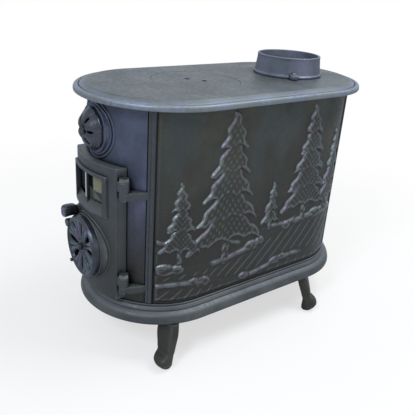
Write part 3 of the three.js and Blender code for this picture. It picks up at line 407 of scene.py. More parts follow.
class Tree:
    """A material's node tree, built from the coordinates up."""

    def __init__(self, name: str) -> None:
        """Starts an empty material with an output.

        Args:
            name: the material's name.
        """
        self.material = bpy.data.materials.new(name)
        self.material.use_nodes = True
        self.nodes = self.material.node_tree.nodes
        self.nodes.clear()
        self.output = self.nodes.new("ShaderNodeOutputMaterial")
        self.coords = self.nodes.new("ShaderNodeTexCoord").outputs["Object"]

    def add(self, kind: str, inputs: Optional[dict] = None, **settings: object) -> bpy.types.Node:
        """Adds a node and fills its sockets.

        Args:
            kind: the node type, without its ShaderNode prefix.
            inputs: socket name or number, with a constant or another node's output.
            settings: the node's own properties.

        Returns:
            The node.
        """
        node = self.nodes.new("ShaderNode" + kind)
        for key, value in settings.items():
            setattr(node, key, value)
        for key, value in (inputs or {}).items():
            if isinstance(value, Socket):
                self.material.node_tree.links.new(value, node.inputs[key])
            else:
                node.inputs[key].default_value = value
        return node

    def noise(self, scale: float, detail: float = 3.0, rough: float = 0.5) -> Socket:
        """Smooth noise on the object's coordinates, scale in features for each metre."""
        inputs = {"Vector": self.coords, "Scale": scale, "Detail": detail, "Roughness": rough}
        return self.add("TexNoise", inputs).outputs["Fac"]

    def streaks(self, stretch: Colour, scale: float, detail: float) -> Socket:
        """Noise whose coordinates are scaled by axis, so it runs long where that is small."""
        mapped = self.add("Mapping", {"Vector": self.coords, "Scale": stretch}).outputs[0]
        inputs = {"Vector": mapped, "Scale": scale, "Detail": detail}
        return self.add("TexNoise", inputs).outputs["Fac"]

    def range(self, value: Socket, *limits: float) -> Socket:
        """A value carried from the first two limits to the last two, smoothly and clamped."""
        inputs = {0: value, 1: limits[0], 2: limits[1], 3: limits[2], 4: limits[3]}
        return self.add("MapRange", inputs, interpolation_type="SMOOTHSTEP").outputs[0]

    def math(self, operation: str, *values: Union[Socket, float]) -> Socket:
        """One step of arithmetic on sockets or numbers."""
        return self.add("Math", dict(enumerate(values)), operation=operation).outputs[0]

    def mix(
        self, share: Socket, first: Union[Socket, Colour], second: Union[Socket, Colour]
    ) -> Socket:
        """A blend of two colours by a share of the second."""
        fill = [c if isinstance(c, Socket) else (*c, 1.0) for c in (first, second)]
        inputs = {0: share, 6: fill[0], 7: fill[1]}
        return self.add("Mix", inputs, data_type="RGBA").outputs[2]

    def bump(self, *layers: tuple[Socket, float]) -> Socket:
        """Layers of relief, each a height and the metres that it stands up, one on the other."""
        normal: Optional[Socket] = None
        for height, distance in layers:
            inputs = {"Height": height, "Distance": distance, "Strength": 1.0}
            if normal is not None:
                inputs["Normal"] = normal
            normal = self.add("Bump", inputs).outputs[0]
        return normal

    def finish(self, inputs: dict) -> bpy.types.Material:
        """Adds the surface shader and joins it to the output."""
        shader = self.add("BsdfPrincipled", inputs)
        self.material.node_tree.links.new(shader.outputs[0], self.output.inputs["Surface"])
        return self.material


@dataclass(frozen=True)
class CastIron:
    """Blacked cast iron: soft patches, tempering streaks, dust and scuffed edges, with painted
    highlights, painted top light and painted corner shade.

    Attributes:
        name: the material's name.
        dark: its darker patches.
        light: its lighter patches.
        rubbed_and_lit: edges scuffed bare, their colour also a painted highlight.
        film_and_light: the second colour of those edges, which shifts in large patches.
        dust: specks of dust.
        dust_share: how strongly the specks show.
        streak_and_highlight: colour of the upright tempering streaks, also a painted highlight.
        streak_and_highlight_share: how strongly they show.
        base: colour near the floor.
        base_share: how strongly it shows there.
        base_z: heights, in metres, between which it gives way.
        painted_top_light: painted light on faces that look up.
        painted_top_light_share: how strongly it shows there.
        polish: how much smoother a scuffed edge is.
        metallic: how metallic it is.
        roughness: its mean roughness.
        grain: height of the sand-cast grain, in metres.
        patch: soft patches for each metre.
        tint: colour of its mirror light.
        specular: how strong that is.
        nook: reach, in metres, within which another face darkens a corner with painted shade.
        painted_shade: how dark the painted shade makes such a corner.
    """

    # Noises, each as features for each metre, finer sets, and how strong those are.
    PATCH_DETAIL = (4.0, 0.55)
    MOTTLE = (120.0, 4.0, 0.6)
    SAND = (620.0, 3.0, 0.6)
    SPECKS = (310.0, 2.0, 0.4)
    SHIFT = (24.0, 2.0)
    WAVES = (75.0, 2.0)
    STREAKS = ((1.0, 1.0, 0.35), 14.0, 3.0)
    # Limits between which a noise, or another value, gives way to its colour.
    PATCH_LIMITS = (0.36, 0.66)
    MOTTLE_LIMITS = (0.3, 0.7)
    STREAK_LIMITS = (0.42, 0.66)
    FACING_LIMITS = (0.5, 0.95)
    SPECK_LIMITS = (0.62, 0.72)
    SHIFT_LIMITS = (0.42, 0.58)
    NOOK_LIMITS = (0.25, 0.8)
    # Share of the mottle in the body's colour, and the least share of scuffing and painted
    # highlight that it leaves.
    MOTTLE_SHARE = 0.3
    WEAR_AND_LIGHT_LEFT = 0.65
    # Colour of the painted shade in corners.
    CORNER_SHADE_COLOUR = (0.006, 0.006, 0.007)
    # How far the roughness falls and rises with the mottle, and the waves' height in grains.
    ROUGH_SWING = (0.07, 0.09)
    WAVE_HEIGHT = 2.5

    name: str
    dark: Colour
    light: Colour
    rubbed_and_lit: Colour
    film_and_light: Optional[Colour] = None
    dust: Colour = (0.28, 0.28, 0.27)
    dust_share: float = 0.05
    streak_and_highlight: Colour = (0.1, 0.1, 0.17)
    streak_and_highlight_share: float = 0.0
    base: Colour = (0.03, 0.031, 0.03)
    base_share: float = 0.0
    base_z: tuple[float, float] = (0.2, 0.48)
    painted_top_light: Colour = (0.15, 0.175, 0.17)
    painted_top_light_share: float = 0.0
    polish: float = 0.14
    metallic: float = 0.55
    roughness: float = 0.5
    grain: float = 0.00012
    patch: float = 11.0
    tint: Colour = (0.75, 0.85, 1.0)
    specular: float = 0.35
    nook: float = 0.014
    painted_shade: float = 0.85

    def material(self) -> bpy.types.Material:
        """The node material."""
        tree = Tree(self.name)
        patches = tree.noise(self.patch, *self.PATCH_DETAIL)
        patches = tree.range(patches, *self.PATCH_LIMITS, 0.0, 1.0)
        mottle = tree.range(tree.noise(*self.MOTTLE), *self.MOTTLE_LIMITS, 0.0, 1.0)
        body = tree.mix(patches, self.dark, self.light)
        body = tree.mix(tree.math("MULTIPLY", mottle, self.MOTTLE_SHARE), body, self.light)
        # Upright tempering streaks, their bluish colour also a painted highlight.
        if self.streak_and_highlight_share:
            streaks = tree.streaks(*self.STREAKS)
            streaks = tree.range(streaks, *self.STREAK_LIMITS, 0.0, self.streak_and_highlight_share)
            body = tree.mix(streaks, body, self.streak_and_highlight)
        if self.base_share:
            height = tree.add("SeparateXYZ", {0: tree.coords}).outputs["Z"]
            low = tree.range(height, *self.base_z, self.base_share, 0.0)
            body = tree.mix(low, body, self.base)
        # Painted light on the faces that look up.
        if self.painted_top_light_share:
            normal = tree.add("TexCoord").outputs["Normal"]
            light_facing = tree.add("SeparateXYZ", {0: normal}).outputs["Z"]
            upward = tree.range(light_facing, *self.FACING_LIMITS, 0.0, self.painted_top_light_share)
            body = tree.mix(upward, body, self.painted_top_light)
        specks = tree.range(tree.noise(*self.SPECKS), *self.SPECK_LIMITS, 0.0, self.dust_share)
        body = tree.mix(specks, body, self.dust)
        # Scuffed edges, their lighter colour also a painted highlight.
        wear_and_light = tree.add("Attribute", attribute_name="wear_and_light").outputs["Fac"]
        rub_and_light = tree.math("MULTIPLY", wear_and_light, tree.range(mottle, 0.0, 1.0, self.WEAR_AND_LIGHT_LEFT, 1.0))
        shift = tree.range(tree.noise(*self.SHIFT), *self.SHIFT_LIMITS, 0.0, 1.0)
        body = tree.mix(rub_and_light, body, tree.mix(shift, self.rubbed_and_lit, self.film_and_light or self.rubbed_and_lit))
        # Painted shade in corners, where other faces stand close.
        nook = tree.add("AmbientOcclusion", {"Distance": self.nook}, samples=8).outputs["AO"]
        corner_shade = tree.range(nook, *self.NOOK_LIMITS, self.painted_shade, 0.0)
        smoother, rougher = self.ROUGH_SWING
        low, high = self.roughness - smoother, self.roughness + rougher
        rough = tree.range(mottle, 0.0, 1.0, low, high)
        sand, waves = tree.noise(*self.SAND), tree.noise(*self.WAVES)
        inputs = {
            "Base Color": tree.mix(corner_shade, body, self.CORNER_SHADE_COLOUR),
            "Metallic": self.metallic,
            "Roughness": tree.math("SUBTRACT", rough, tree.math("MULTIPLY", wear_and_light, self.polish)),
            "Specular IOR Level": self.specular,
            "Specular Tint": (*self.tint, 1.0),
            "Normal": tree.bump((sand, self.grain), (waves, self.grain * self.WAVE_HEIGHT)),
        }
        return tree.finish(inputs)


@dataclass(frozen=True)
class Steel:
    """Dull steel of bolts and sheet: fine streaks from rubbing and darker heat stains."""

    STREAKS = ((1.0, 0.08, 1.0), 900.0, 2.0)
    STREAK_HEIGHT = 0.00004
    DENT_HEIGHT = 0.00008
    STAIN_LIMITS = (0.42, 0.68)
    STAIN_SHARE = 0.8
    ROUGH_SWING = (0.08, 0.12)

    name: str
    bright: Colour
    stain: Colour
    roughness: float = 0.42
    metallic: float = 0.8

    def material(self) -> bpy.types.Material:
        """The node material."""
        tree = Tree(self.name)
        streaks = tree.streaks(*self.STREAKS)
        stains = tree.range(tree.noise(28.0, 4.0), *self.STAIN_LIMITS, 0.0, self.STAIN_SHARE)
        smoother, rougher = self.ROUGH_SWING
        low, high = self.roughness - smoother, self.roughness + rougher
        dents = tree.noise(300.0)
        inputs = {
            "Base Color": tree.mix(stains, self.bright, self.stain),
            "Metallic": self.metallic,
            "Roughness": tree.range(streaks, 0.2, 0.8, low, high),
            "Normal": tree.bump((streaks, self.STREAK_HEIGHT), (dents, self.DENT_HEIGHT)),
        }
        return tree.finish(inputs)


@dataclass(frozen=True)
class PaneGlass:
    """Heat-resistant glass whose colour paints light and shade: the lit firebox, its shade, and the
    sill's reflection.

    Attributes:
        name: the material's name.
        film_and_light: colour of the smoke haze, which also paints the lit firebox seen through it.
        painted_shade: colour of the painted shade at the foot and beside the mullion, where the
            firebox lies in shade.
        clear: how much light goes through.
        shade_z: height up to which the painted shade reaches, in metres.
        shade_x: how far out it reaches beside the mullion.
        sill: the painted reflection of the sloping sill at the glass's foot.
        sill_z: height where that begins, at the middle of the door.
        sill_fall: how fast it falls away from there.
    """

    # In metres: how far the painted shade and the painted sill reflection fade upwards, the painted
    # shade sideways, how far noise moves those borders, and the waves of the glass.
    BLEND = 0.004
    BESIDE = (-0.001, 0.002)
    RAGGED = 0.004
    WARP = 0.0001
    ROUGH = (0.08, 0.2)

    name: str
    film_and_light: Colour
    painted_shade: Colour
    clear: float
    shade_z: float
    shade_x: float
    sill: Colour
    sill_z: float
    sill_fall: float

    def material(self) -> bpy.types.Material:
        """The node material: haze and painted firebox light above, painted shade below and beside,
        the painted sill reflection under a sloping line.
        """
        tree = Tree(self.name)
        place = tree.add("SeparateXYZ", {0: tree.coords}).outputs
        cloud = tree.math("MULTIPLY", tree.noise(60.0, 3.0), self.RAGGED)
        level = tree.math("ADD", place["Z"], cloud)
        # Painted shade at the foot and beside the mullion.
        below = tree.range(level, self.shade_z, self.shade_z + self.BLEND, 1.0, 0.0)
        near, far = (self.shade_x + step for step in self.BESIDE)
        beside = tree.range(place["X"], near, far, 1.0, 0.0)
        colour = tree.mix(tree.math("MAXIMUM", below, beside), self.film_and_light, self.painted_shade)
        # The sill's painted reflection, under a sloping line.
        line = tree.math("ADD", level, tree.math("MULTIPLY", place["X"], self.sill_fall))
        sill = tree.range(line, self.sill_z, self.sill_z + self.BLEND, 1.0, 0.0)
        inputs = {
            "Base Color": tree.mix(sill, colour, self.sill),
            "Roughness": tree.range(tree.noise(90.0), 0.3, 0.7, *self.ROUGH),
            "Transmission Weight": self.clear,
            "Specular IOR Level": 0.2,
            "IOR": 1.47,
            "Normal": tree.bump((tree.noise(35.0, 1.0), self.WARP)),
        }
        return tree.finish(inputs)


@dataclass(frozen=True)
class FireBrick:
    """Buff brick with pits, grit and smoke stains."""

    GRIT = (0.4, 0.7, 0.0, 0.5)  # Limits of its noise, and least and greatest share.
    SMOKE = (0.38, 0.62, 0.1, 0.85)
    PIT_DEPTH = 0.0006
    GRAIN_HEIGHT = 0.0004

    name: str
    clay: Colour
    grit: Colour
    smoke: Colour

    def material(self) -> bpy.types.Material:
        """The node material."""
        tree = Tree(self.name)
        grit = tree.range(tree.noise(140.0), *self.GRIT)
        smoke = tree.range(tree.noise(9.0, 5.0), *self.SMOKE)
        pits = tree.add("TexVoronoi", {"Vector": tree.coords, "Scale": 210.0}).outputs["Distance"]
        grain = tree.noise(420.0, 4.0)
        inputs = {
            "Base Color": tree.mix(smoke, tree.mix(grit, self.clay, self.grit), self.smoke),
            "Roughness": 0.92,
            "Normal": tree.bump((pits, self.PIT_DEPTH), (grain, self.GRAIN_HEIGHT)),
        }
        return tree.finish(inputs)


@dataclass(frozen=True)
class Rope:
    """Glass-fibre rope, its yarns crossing along the seal."""

    SLANT = 0.7  # Turn of each set of yarns, in radians.
    YARN_HEIGHT = 0.0008
    FUZZ_HEIGHT = 0.0002

    name: str
    yarn: Colour
    shade: Colour
    weave: Weave = Weave.BRAIDED

    def material(self) -> bpy.types.Material:
        """The node material: two sets of slanting waves, multiplied for a braid."""
        tree = Tree(self.name)
        waves = []
        for tilt in (self.SLANT, -self.SLANT * self.weave.value):
            turn = tree.add("Mapping", {"Vector": tree.coords, "Rotation": (tilt, tilt, 0.0)})
            inputs = {"Vector": turn.outputs[0], "Scale": 130.0, "Distortion": 0.6}
            waves.append(tree.add("TexWave", inputs, bands_direction="Z").outputs["Fac"])
        braid = tree.math("MULTIPLY", *waves)
        inputs = {
            "Base Color": tree.mix(tree.range(braid, 0.0, 0.7, 0.0, 1.0), self.shade, self.yarn),
            "Roughness": 0.95,
            "Sheen Weight": 0.3,
            "Normal": tree.bump((braid, self.YARN_HEIGHT), (tree.noise(700.0), self.FUZZ_HEIGHT)),
        }
        return tree.finish(inputs)


Finish = Union[CastIron, Steel, PaneGlass, FireBrick, Rope]


@dataclass(frozen=True)
class Finishes:
    """The finishes of the stove, by the slots of its record."""

    plate: CastIron = CastIron(
        "plate_iron", (0.07, 0.079, 0.082), (0.112, 0.123, 0.128), (0.2, 0.24, 0.315),
        film_and_light=(0.19, 0.22, 0.25), dust_share=0.1, polish=0.03,
    )
    skirt: CastIron = CastIron(
        "skirt_iron", (0.042, 0.048, 0.052), (0.077, 0.087, 0.092), (0.26, 0.3, 0.36),
        painted_top_light=(0.26, 0.29, 0.31), painted_top_light_share=0.3,
    )
    shell: CastIron = CastIron(
        "shell_iron", (0.044, 0.055, 0.082), (0.08, 0.096, 0.15), (0.2, 0.22, 0.3),
        streak_and_highlight=(0.14, 0.15, 0.265), streak_and_highlight_share=0.8, base=(0.034, 0.035, 0.035), base_share=1.0,
        painted_top_light_share=0.3, metallic=0.7,
    )
    joint: CastIron = CastIron(
        "joint_iron", (0.026, 0.029, 0.034), (0.042, 0.046, 0.053), (0.062, 0.068, 0.078)
    )
    collar: CastIron = CastIron(
        "collar_iron", (0.072, 0.086, 0.112), (0.12, 0.14, 0.18), (0.3, 0.32, 0.4),
        streak_and_highlight=(0.17, 0.185, 0.27), streak_and_highlight_share=0.5, painted_top_light_share=0.3, metallic=0.7,
    )
    door: CastIron = CastIron(
        "door_iron", (0.038, 0.042, 0.05), (0.064, 0.07, 0.078), (0.2, 0.23, 0.25),
        streak_and_highlight=(0.075, 0.1, 0.105), streak_and_highlight_share=0.4, base=(0.04, 0.041, 0.037), base_share=0.6,
        painted_top_light_share=0.55, metallic=0.5,
    )
    panel: CastIron = CastIron(
        "panel_iron", (0.034, 0.036, 0.03), (0.052, 0.0545, 0.045), (0.24, 0.29, 0.31),
        film_and_light=(0.25, 0.24, 0.32), streak_and_highlight=(0.05, 0.066, 0.078), streak_and_highlight_share=0.45,
        base=(0.028, 0.028, 0.024), base_share=0.9, metallic=0.5, polish=0.22,
    )
    fitting: CastIron = CastIron(
        "fitting_iron", (0.024, 0.027, 0.032), (0.05, 0.056, 0.068), (0.11, 0.15, 0.18),
        film_and_light=(0.13, 0.115, 0.19), roughness=0.33, metallic=0.7, polish=0.1,
    )
    leg: CastIron = CastIron(
        "leg_iron", (0.027, 0.027, 0.023), (0.046, 0.046, 0.038), (0.12, 0.13, 0.13)
    )
    grate: CastIron = CastIron(
        "grate_iron", (0.025, 0.023, 0.022), (0.06, 0.052, 0.045), (0.1, 0.09, 0.08), roughness=0.8
    )
    steel: Steel = Steel("steel", (0.15, 0.175, 0.17), (0.07, 0.08, 0.078))
    dark_steel: Steel = Steel("dark_steel", (0.035, 0.035, 0.042), (0.012, 0.012, 0.015))
    # Pale steel for the strip that paints the mullion's highlight.
    mullion_highlight: Steel = Steel("mullion_highlight_steel", (0.55, 0.56, 0.47), (0.3, 0.31, 0.26), metallic=0.35)
    pan: Steel = Steel("pan_steel", (0.16, 0.165, 0.17), (0.06, 0.06, 0.065), roughness=0.5)
    pane_right: PaneGlass = PaneGlass(
        "pane_glass_right", (0.165, 0.165, 0.11), (0.006, 0.007, 0.01), 0.12, 0.361, 0.0125,
        (0.055, 0.066, 0.062), 0.369, 0.6,
    )
    pane_left: PaneGlass = PaneGlass(
        "pane_glass_left", (0.034, 0.041, 0.066), (0.012, 0.013, 0.02), 0.12, 0.346, -0.07,
        (0.055, 0.066, 0.062), 0.3, 0.0,
    )
    rope: Rope = Rope("rope", (0.055, 0.055, 0.055), (0.012, 0.012, 0.012))
    brick: FireBrick = FireBrick(
        "firebrick", (0.5, 0.4, 0.27), (0.32, 0.24, 0.16), (0.07, 0.06, 0.05)
    )


# ---------- Making pieces ----------


def placed(name: str, data: bpy.types.ID) -> bpy.types.Object:
    """A new object of some data, in the scene, at the origin."""
    thing = bpy.data.objects.new(name, data)
    bpy.context.scene.collection.objects.link(thing)
    return thing


def mark_wear_and_light(mesh: bpy.types.Mesh, wear_and_light: Array) -> None:
    """Gives a mesh its wear_and_light attribute: scuffing and painted highlight, one value from 0
    to 1 for each point.
    """
    layer = mesh.attributes.new("wear_and_light", "FLOAT", "POINT")
    layer.data.foreach_set("value", wear_and_light.astype(np.float32))


class Workshop:
    """Turns surfaces into finished pieces that ride on the frame."""

    EDGE_WEAR_AND_LIGHT = 0.75  # Scuffing and painted highlight of the sharpest edges.
    EDGE_BEND = (0.06, 0.26)  # Bends between which an edge begins to be scuffed and lit, and is fully so.
    BEVEL_STEPS = 3
    FLAT = math.radians(1.0)  # Faces that meet at less are one face.

    def __init__(self, finishes: Finishes) -> None:
        """Keeps the finishes, and makes each material once.

        Args:
            finishes: the stove's finishes.
        """
        self.finishes = finishes
        self.made: dict[str, bpy.types.Material] = {}

    def material(self, finish: Finish) -> bpy.types.Material:
        """The material of a finish."""
        if finish.name not in self.made:
            self.made[finish.name] = finish.material()
        return self.made[finish.name]

    @staticmethod
    def build(name: str, surface: Surface) -> bpy.types.Object:
        """Makes an object of a surface, merged, closed and facing outwards.

        Args:
            name: the piece's name.
            surface: its shape, in millimetres.

        Returns:
            The object, at the origin.
        """
        used = [surface.quads.ravel(), *surface.caps]
        kept, renamed = np.unique(np.concatenate(used), return_inverse=True)
        quads = renamed[: surface.quads.size].reshape(-1, 4).tolist()
        ends = np.cumsum([surface.quads.size] + [len(cap) for cap in surface.caps])
        caps = [renamed[a:b].tolist() for a, b in zip(ends[:-1], ends[1:])]
        mesh = bpy.data.meshes.new(name)
        mesh.from_pydata((surface.points[kept] * MM).tolist(), [], quads + caps)
        if surface.wear_and_light is not None:
            mark_wear_and_light(mesh, surface.wear_and_light[kept])
        work = bmesh.new()
        work.from_mesh(mesh)
        bmesh.ops.remove_doubles(work, verts=work.verts, dist=SAME_SPOT)
        bmesh.ops.dissolve_degenerate(work, edges=work.edges, dist=NO_LENGTH)
        bmesh.ops.recalc_face_normals(work, faces=work.faces)
        work.to_mesh(mesh)
        work.free()
        return placed(name, mesh)

    @staticmethod
    def scuff_and_light_edges(mesh: bpy.types.Mesh) -> None:
        """Marks the convex edges of a mesh as scuffed and lit with painted highlight.

        At each point the fall of its neighbours below its tangent plane, divided by their
        distance and averaged, says how sharply the surface bends away.

        Args:
            mesh: the mesh, which gets a wear_and_light attribute.
        """
        count = len(mesh.vertices)
        spots, normals = np.empty(count * 3), np.empty(count * 3)
        mesh.vertices.foreach_get("co", spots)
        mesh.vertices.foreach_get("normal", normals)
        spots, normals = spots.reshape(-1, 3), normals.reshape(-1, 3)
        pairs = np.empty(len(mesh.edges) * 2, int)
        mesh.edges.foreach_get("vertices", pairs)
        pairs = pairs.reshape(-1, 2)
        pairs = np.concatenate([pairs, pairs[:, ::-1]])
        run = spots[pairs[:, 1]] - spots[pairs[:, 0]]
        reach = np.linalg.norm(run, axis=1) + 1e-9
        fall = -np.einsum("ij,ij->i", run, normals[pairs[:, 0]]) / reach
        neighbours = np.maximum(np.bincount(pairs[:, 0], minlength=count), 1)
        bend = np.bincount(pairs[:, 0], fall, count) / neighbours
        mark_wear_and_light(mesh, Workshop.EDGE_WEAR_AND_LIGHT * smooth_step(bend, *Workshop.EDGE_BEND))

    @staticmethod
    def settle(piece: bpy.types.Object) -> None:
        """Turns a piece's modifiers into its own mesh."""
        graph = bpy.context.evaluated_depsgraph_get()
        mesh = bpy.data.meshes.new_from_object(piece.evaluated_get(graph))
        piece.modifiers.clear()
        piece.data = mesh

    def carve(self, piece: bpy.types.Object, cutters: Sequence[Surface]) -> None:
        """Takes each cutter's volume out of a piece."""
        for cutter in cutters:
            tool = self.build("cutter", cutter)
            step = piece.modifiers.new("carve", "BOOLEAN")
            step.operation = "DIFFERENCE"
            step.solver = "EXACT"
            step.object = tool
            self.settle(piece)
            bpy.data.objects.remove(tool)

    def round_edges(self, piece: bpy.types.Object, width: float, sharp: float = 32.0) -> None:
        """Rounds the edges that are sharper than an angle, by a width in millimetres."""
        step = piece.modifiers.new("edges", "BEVEL")
        step.width = width * MM
        step.segments = self.BEVEL_STEPS
        step.limit_method = "ANGLE"
        step.angle_limit = math.radians(sharp)
        step.harden_normals = False
        self.settle(piece)

    def dress(
        self,
        piece: bpy.types.Object,
        body: str,
        finish: Finish,
        replaces: Sequence[str] = (),
        smooth: float = 38.0,
    ) -> None:
        """Shades, paints and mounts a piece, and reports it.

        Args:
            piece: the object.
            body: the body it rides on.
            finish: its finish.
            replaces: the frame's nodes that it stands for.
            smooth: edges flatter than this angle are shaded smooth.
        """
        if "wear_and_light" not in piece.data.attributes:
            self.scuff_and_light_edges(piece.data)
        piece.data.polygons.foreach_set("use_smooth", np.ones(len(piece.data.polygons), bool))
        piece.data.set_sharp_from_angle(angle=math.radians(smooth))
        piece.data.materials.clear()
        piece.data.materials.append(self.material(finish))
        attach(piece, body)
        if replaces:
            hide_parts(*replaces)
        log.info("%s: %d faces on %s", piece.name, len(piece.data.polygons), body)

    def make(
        self,
        name: str,
        surface: Surface,
        body: str,
        finish: Finish,
        slot: str,
        replaces: Sequence[str] = (),
        edges: float = 0.0,
        cutters: Sequence[Surface] = (),
    ) -> None:
        """Builds a surface, rounds its edges, carves it and dresses it.

        Args:
            name: the piece's name.
            surface: its shape.
            body: the body it rides on.
            finish: its finish.
            slot: the record's slot; not used.
            replaces: the frame's nodes that it stands for.
            edges: width of its rounded edges, in millimetres.
            cutters: volumes taken out of it.
        """
        piece = self.build(name, surface)
        if edges:
            self.round_edges(piece, edges)
        if surface.wear_and_light is None:
            self.scuff_and_light_edges(piece.data)
        if cutters:
            self.carve(piece, cutters)
        self.dress(piece, body, finish, replaces)

    def soften(self, node: str, body: str, finish: Finish, width: float) -> None:
        """Stands a merged copy of a frame node, with rounded edges, in the node's place.

        Args:
            node: the frame node.
            body: the body it rides on.
            finish: its finish.
            width: width of the rounded edges, in millimetres.
        """
        work = bmesh.new()
        work.from_mesh(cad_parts[node].data)
        bmesh.ops.remove_doubles(work, verts=work.verts, dist=SAME_SPOT)
        bmesh.ops.dissolve_limit(work, angle_limit=self.FLAT, verts=work.verts, edges=work.edges)
        mesh = bpy.data.meshes.new(node + "_soft")
        work.to_mesh(mesh)
        work.free()
        piece = placed(node + "_soft", mesh)
        self.round_edges(piece, width)
        self.dress(piece, body, finish, (node,))


class Section(Protocol):
    """A part of the stove that builds its own pieces."""

    def make(self, shop: Workshop) -> None:
        """Builds the pieces."""


# ---------- Base, legs ----------


@dataclass
class BasePlate:
    """The base casting: floor, groove for the walls, moulded skirt and the pan's rails."""

    rim: float = 93.0
    rim_radius: float = 178.0
    floor_top: float = 121.0
    floor_under: float = 113.0
    seat: float = 125.3
    rail_x: float = 50.0
    rail_width: float = 8.0
    rail_ends: tuple[float, float] = (-270.8, 163.2)
    rail_top: float = 149.7

    def outline(self) -> Array:
        """The section from the middle line out over the groove and down the skirt, and back."""
        z, r = self.rim, self.rim_radius
        groove = [
            (0, self.floor_top, 0), (144.6, self.floor_top, 1), (144.6, self.seat + 3, 1),
            (148.6, self.seat + 3, 0.6), (148.6, self.seat, 0.3), (155.4, self.seat, 0.3),
        ]
        skirt = [
            (155.5, z + 37.2, 0.5), (158.6, z + 37.0, 1.6), (159.2, z + 34.2, 1.4),
            (156.9, z + 32.6, 0.6), (159.2, z + 31.4, 1.0), (164.6, z + 25.6, 2.2),
            (162.9, z + 23.0, 0.6), (165.2, z + 21.9, 1.0), (174.5, z + 16.2, 6),
            (r + 0.4, z + 3.4, 2.5), (r + 0.2, z, 1.4), (r - 6, z, 1), (r - 6, z + 5, 2),
        ]
        under = [(158, self.floor_under, 3), (0, self.floor_under, 0)]
        return rounded(groove + skirt + under)

    def make(self, shop: Workshop) -> None:
        """Builds the base plate."""
        half = self.rail_width / 2
        rails = [
            bar((x - half, x + half), self.rail_ends, (self.floor_top - 1, self.rail_top))
            for x in (self.rail_x, -self.rail_x)
        ]
        plan = join(PLAN.swept(self.outline()), *rails)
        shop.make("base_casting", plan, "root", shop.finishes.skirt, "plate_iron", ("base_plate",))


@dataclass
class Leg:
    """One cast leg: square at the top, drawn in at the ankle, and rounded at the toe.

    Attributes:
        name: which leg it is.
        top: where the leg's top stands.
        foot: where its foot stands.
        toe: the way the toe points, in degrees from +X.
        height: its height.
        pad_under, pad_top, pad_half: the pad that bolts it to the base.
        neck_in: how far in from the top, along X and Y, the neck below the pad stands.
        neck_half, neck_under: half the neck's width, and its underside.
        bolt_in: how far in the bolt stands.
    """

    name: str
    top: tuple[float, float]
    foot: tuple[float, float]
    toe: float
    height: float = 92.7
    pad_under: float = 104.7
    pad_top: float = 112.7
    neck_in: tuple[float, float] = (10.0, 7.0)
    neck_half: float = 9.0
    neck_under: float = 79.0
    bolt_in: tuple[float, float] = (52.0, 16.0)
    pad_half: float = 14.0

    ROWS = 72
    COLUMNS = 56
    # Share of the height, share of the splay, shift to the toe, half width that way and across.
    LEVELS = (
        (0.0, 0.86, 1.0, 11.5, 12.5),
        (0.05, 0.88, 2.5, 14.0, 15.0),
        (0.16, 0.9, 6.0, 17.5, 18.5),
        (0.26, 0.86, 7.0, 17.5, 19.0),
        (0.33, 0.8, 5.0, 14.5, 18.5),
        (0.39, 0.73, 1.0, 12.0, 18.0),
        (0.5, 0.6, 0.0, 12.0, 19.0),
        (0.75, 0.22, -0.5, 13.0, 23.0),
        (1.0, -0.16, -2.0, 11.5, 24.5),
    )

    def shaft(self) -> Surface:
        """The leg as a stack of ovals, |cos t|^n + |sin t|^n = 1 / r^n.

        The power n makes it round at the foot, square at mid height and rounder again at the
        top. The first and the last oval are drawn in to a point, which closes the ends.
        """
        levels = np.array(self.LEVELS)
        rows = eased(levels[:, 0], levels, self.ROWS)
        rows = np.concatenate([rows[:1], rows, rows[-1:]])
        share, splay, shift, half_along, half_across = (rows[:, k : k + 1] for k in range(5))
        spread = np.ones((len(rows), 1))
        spread[[0, -1]] = 0
        angle = np.linspace(0, 2 * np.pi, self.COLUMNS, endpoint=False)[None, :]
        power = 2.3 + 3.7 * smooth_step(share, 0.15, 0.55) - 2.6 * smooth_step(share, 0.7, 1.0)
        radius = (abs(np.cos(angle)) ** power + abs(np.sin(angle)) ** power) ** (-1 / power)
        along = shift + spread * radius * half_along * np.cos(angle)
        across = spread * radius * half_across * np.sin(angle)
        cos, sin = math.cos(math.radians(self.toe)), math.sin(math.radians(self.toe))
        run_x, run_y = self.foot[0] - self.top[0], self.foot[1] - self.top[1]
        x = self.top[0] + splay * run_x + along * cos - across * sin
        y = self.top[1] + splay * run_y + along * sin + across * cos
        z = np.broadcast_to(share * self.height, x.shape)
        return sheet(np.stack([x, y, z], -1), wrap_columns=True)

    def make(self, shop: Workshop) -> None:
        """Builds the leg with the pad that bolts it to the base."""
        side = math.copysign(1, self.top[0])
        end = math.copysign(1, self.top[1] - PLAN.middle)
        neck_x, neck_y = self.top[0] - side * self.neck_in[0], self.top[1] - end * self.neck_in[1]
        bolt_x, bolt_y = self.top[0] - side * self.bolt_in[0], self.top[1] - end * self.bolt_in[1]
        half = self.pad_half
        span_x = sorted((bolt_x - side * half, neck_x))
        span_y = sorted((neck_y, bolt_y))
        pad = bar(span_x, (span_y[0] - half, span_y[1] + half), (self.pad_under, self.pad_top))
        half = self.neck_half
        levels = (self.neck_under, self.pad_top - 1)
        neck = bar((neck_x - half, neck_x + half), (neck_y - half, neck_y + half), levels)
        piece = shop.build("leg_pad_" + self.name, join(pad, neck))
        shop.round_edges(piece, 1.2)
        shop.dress(piece, "root", shop.finishes.leg)
        shaft = shop.build("leg_" + self.name + "_cast", self.shaft())
        shop.dress(shaft, "root", shop.finishes.leg, ("leg_" + self.name,))


def legs() -> list[Leg]:
    """The four legs, mirrored left and right."""
    pattern = {
        "front_right": ((152.0, -222.8), (177.0, -242.8), -80.0),
        "rear_right": ((155.0, 181.2), (182.0, 183.2), 45.0),
    }
    found = []
    for name, (top, foot, toe) in pattern.items():
        found.append(Leg(name, top, foot, toe))
        left = name.replace("right", "left")
        found.append(Leg(left, (-top[0], top[1]), (-foot[0], foot[1]), 180 - toe))
    return found


# ---------- End walls ----------


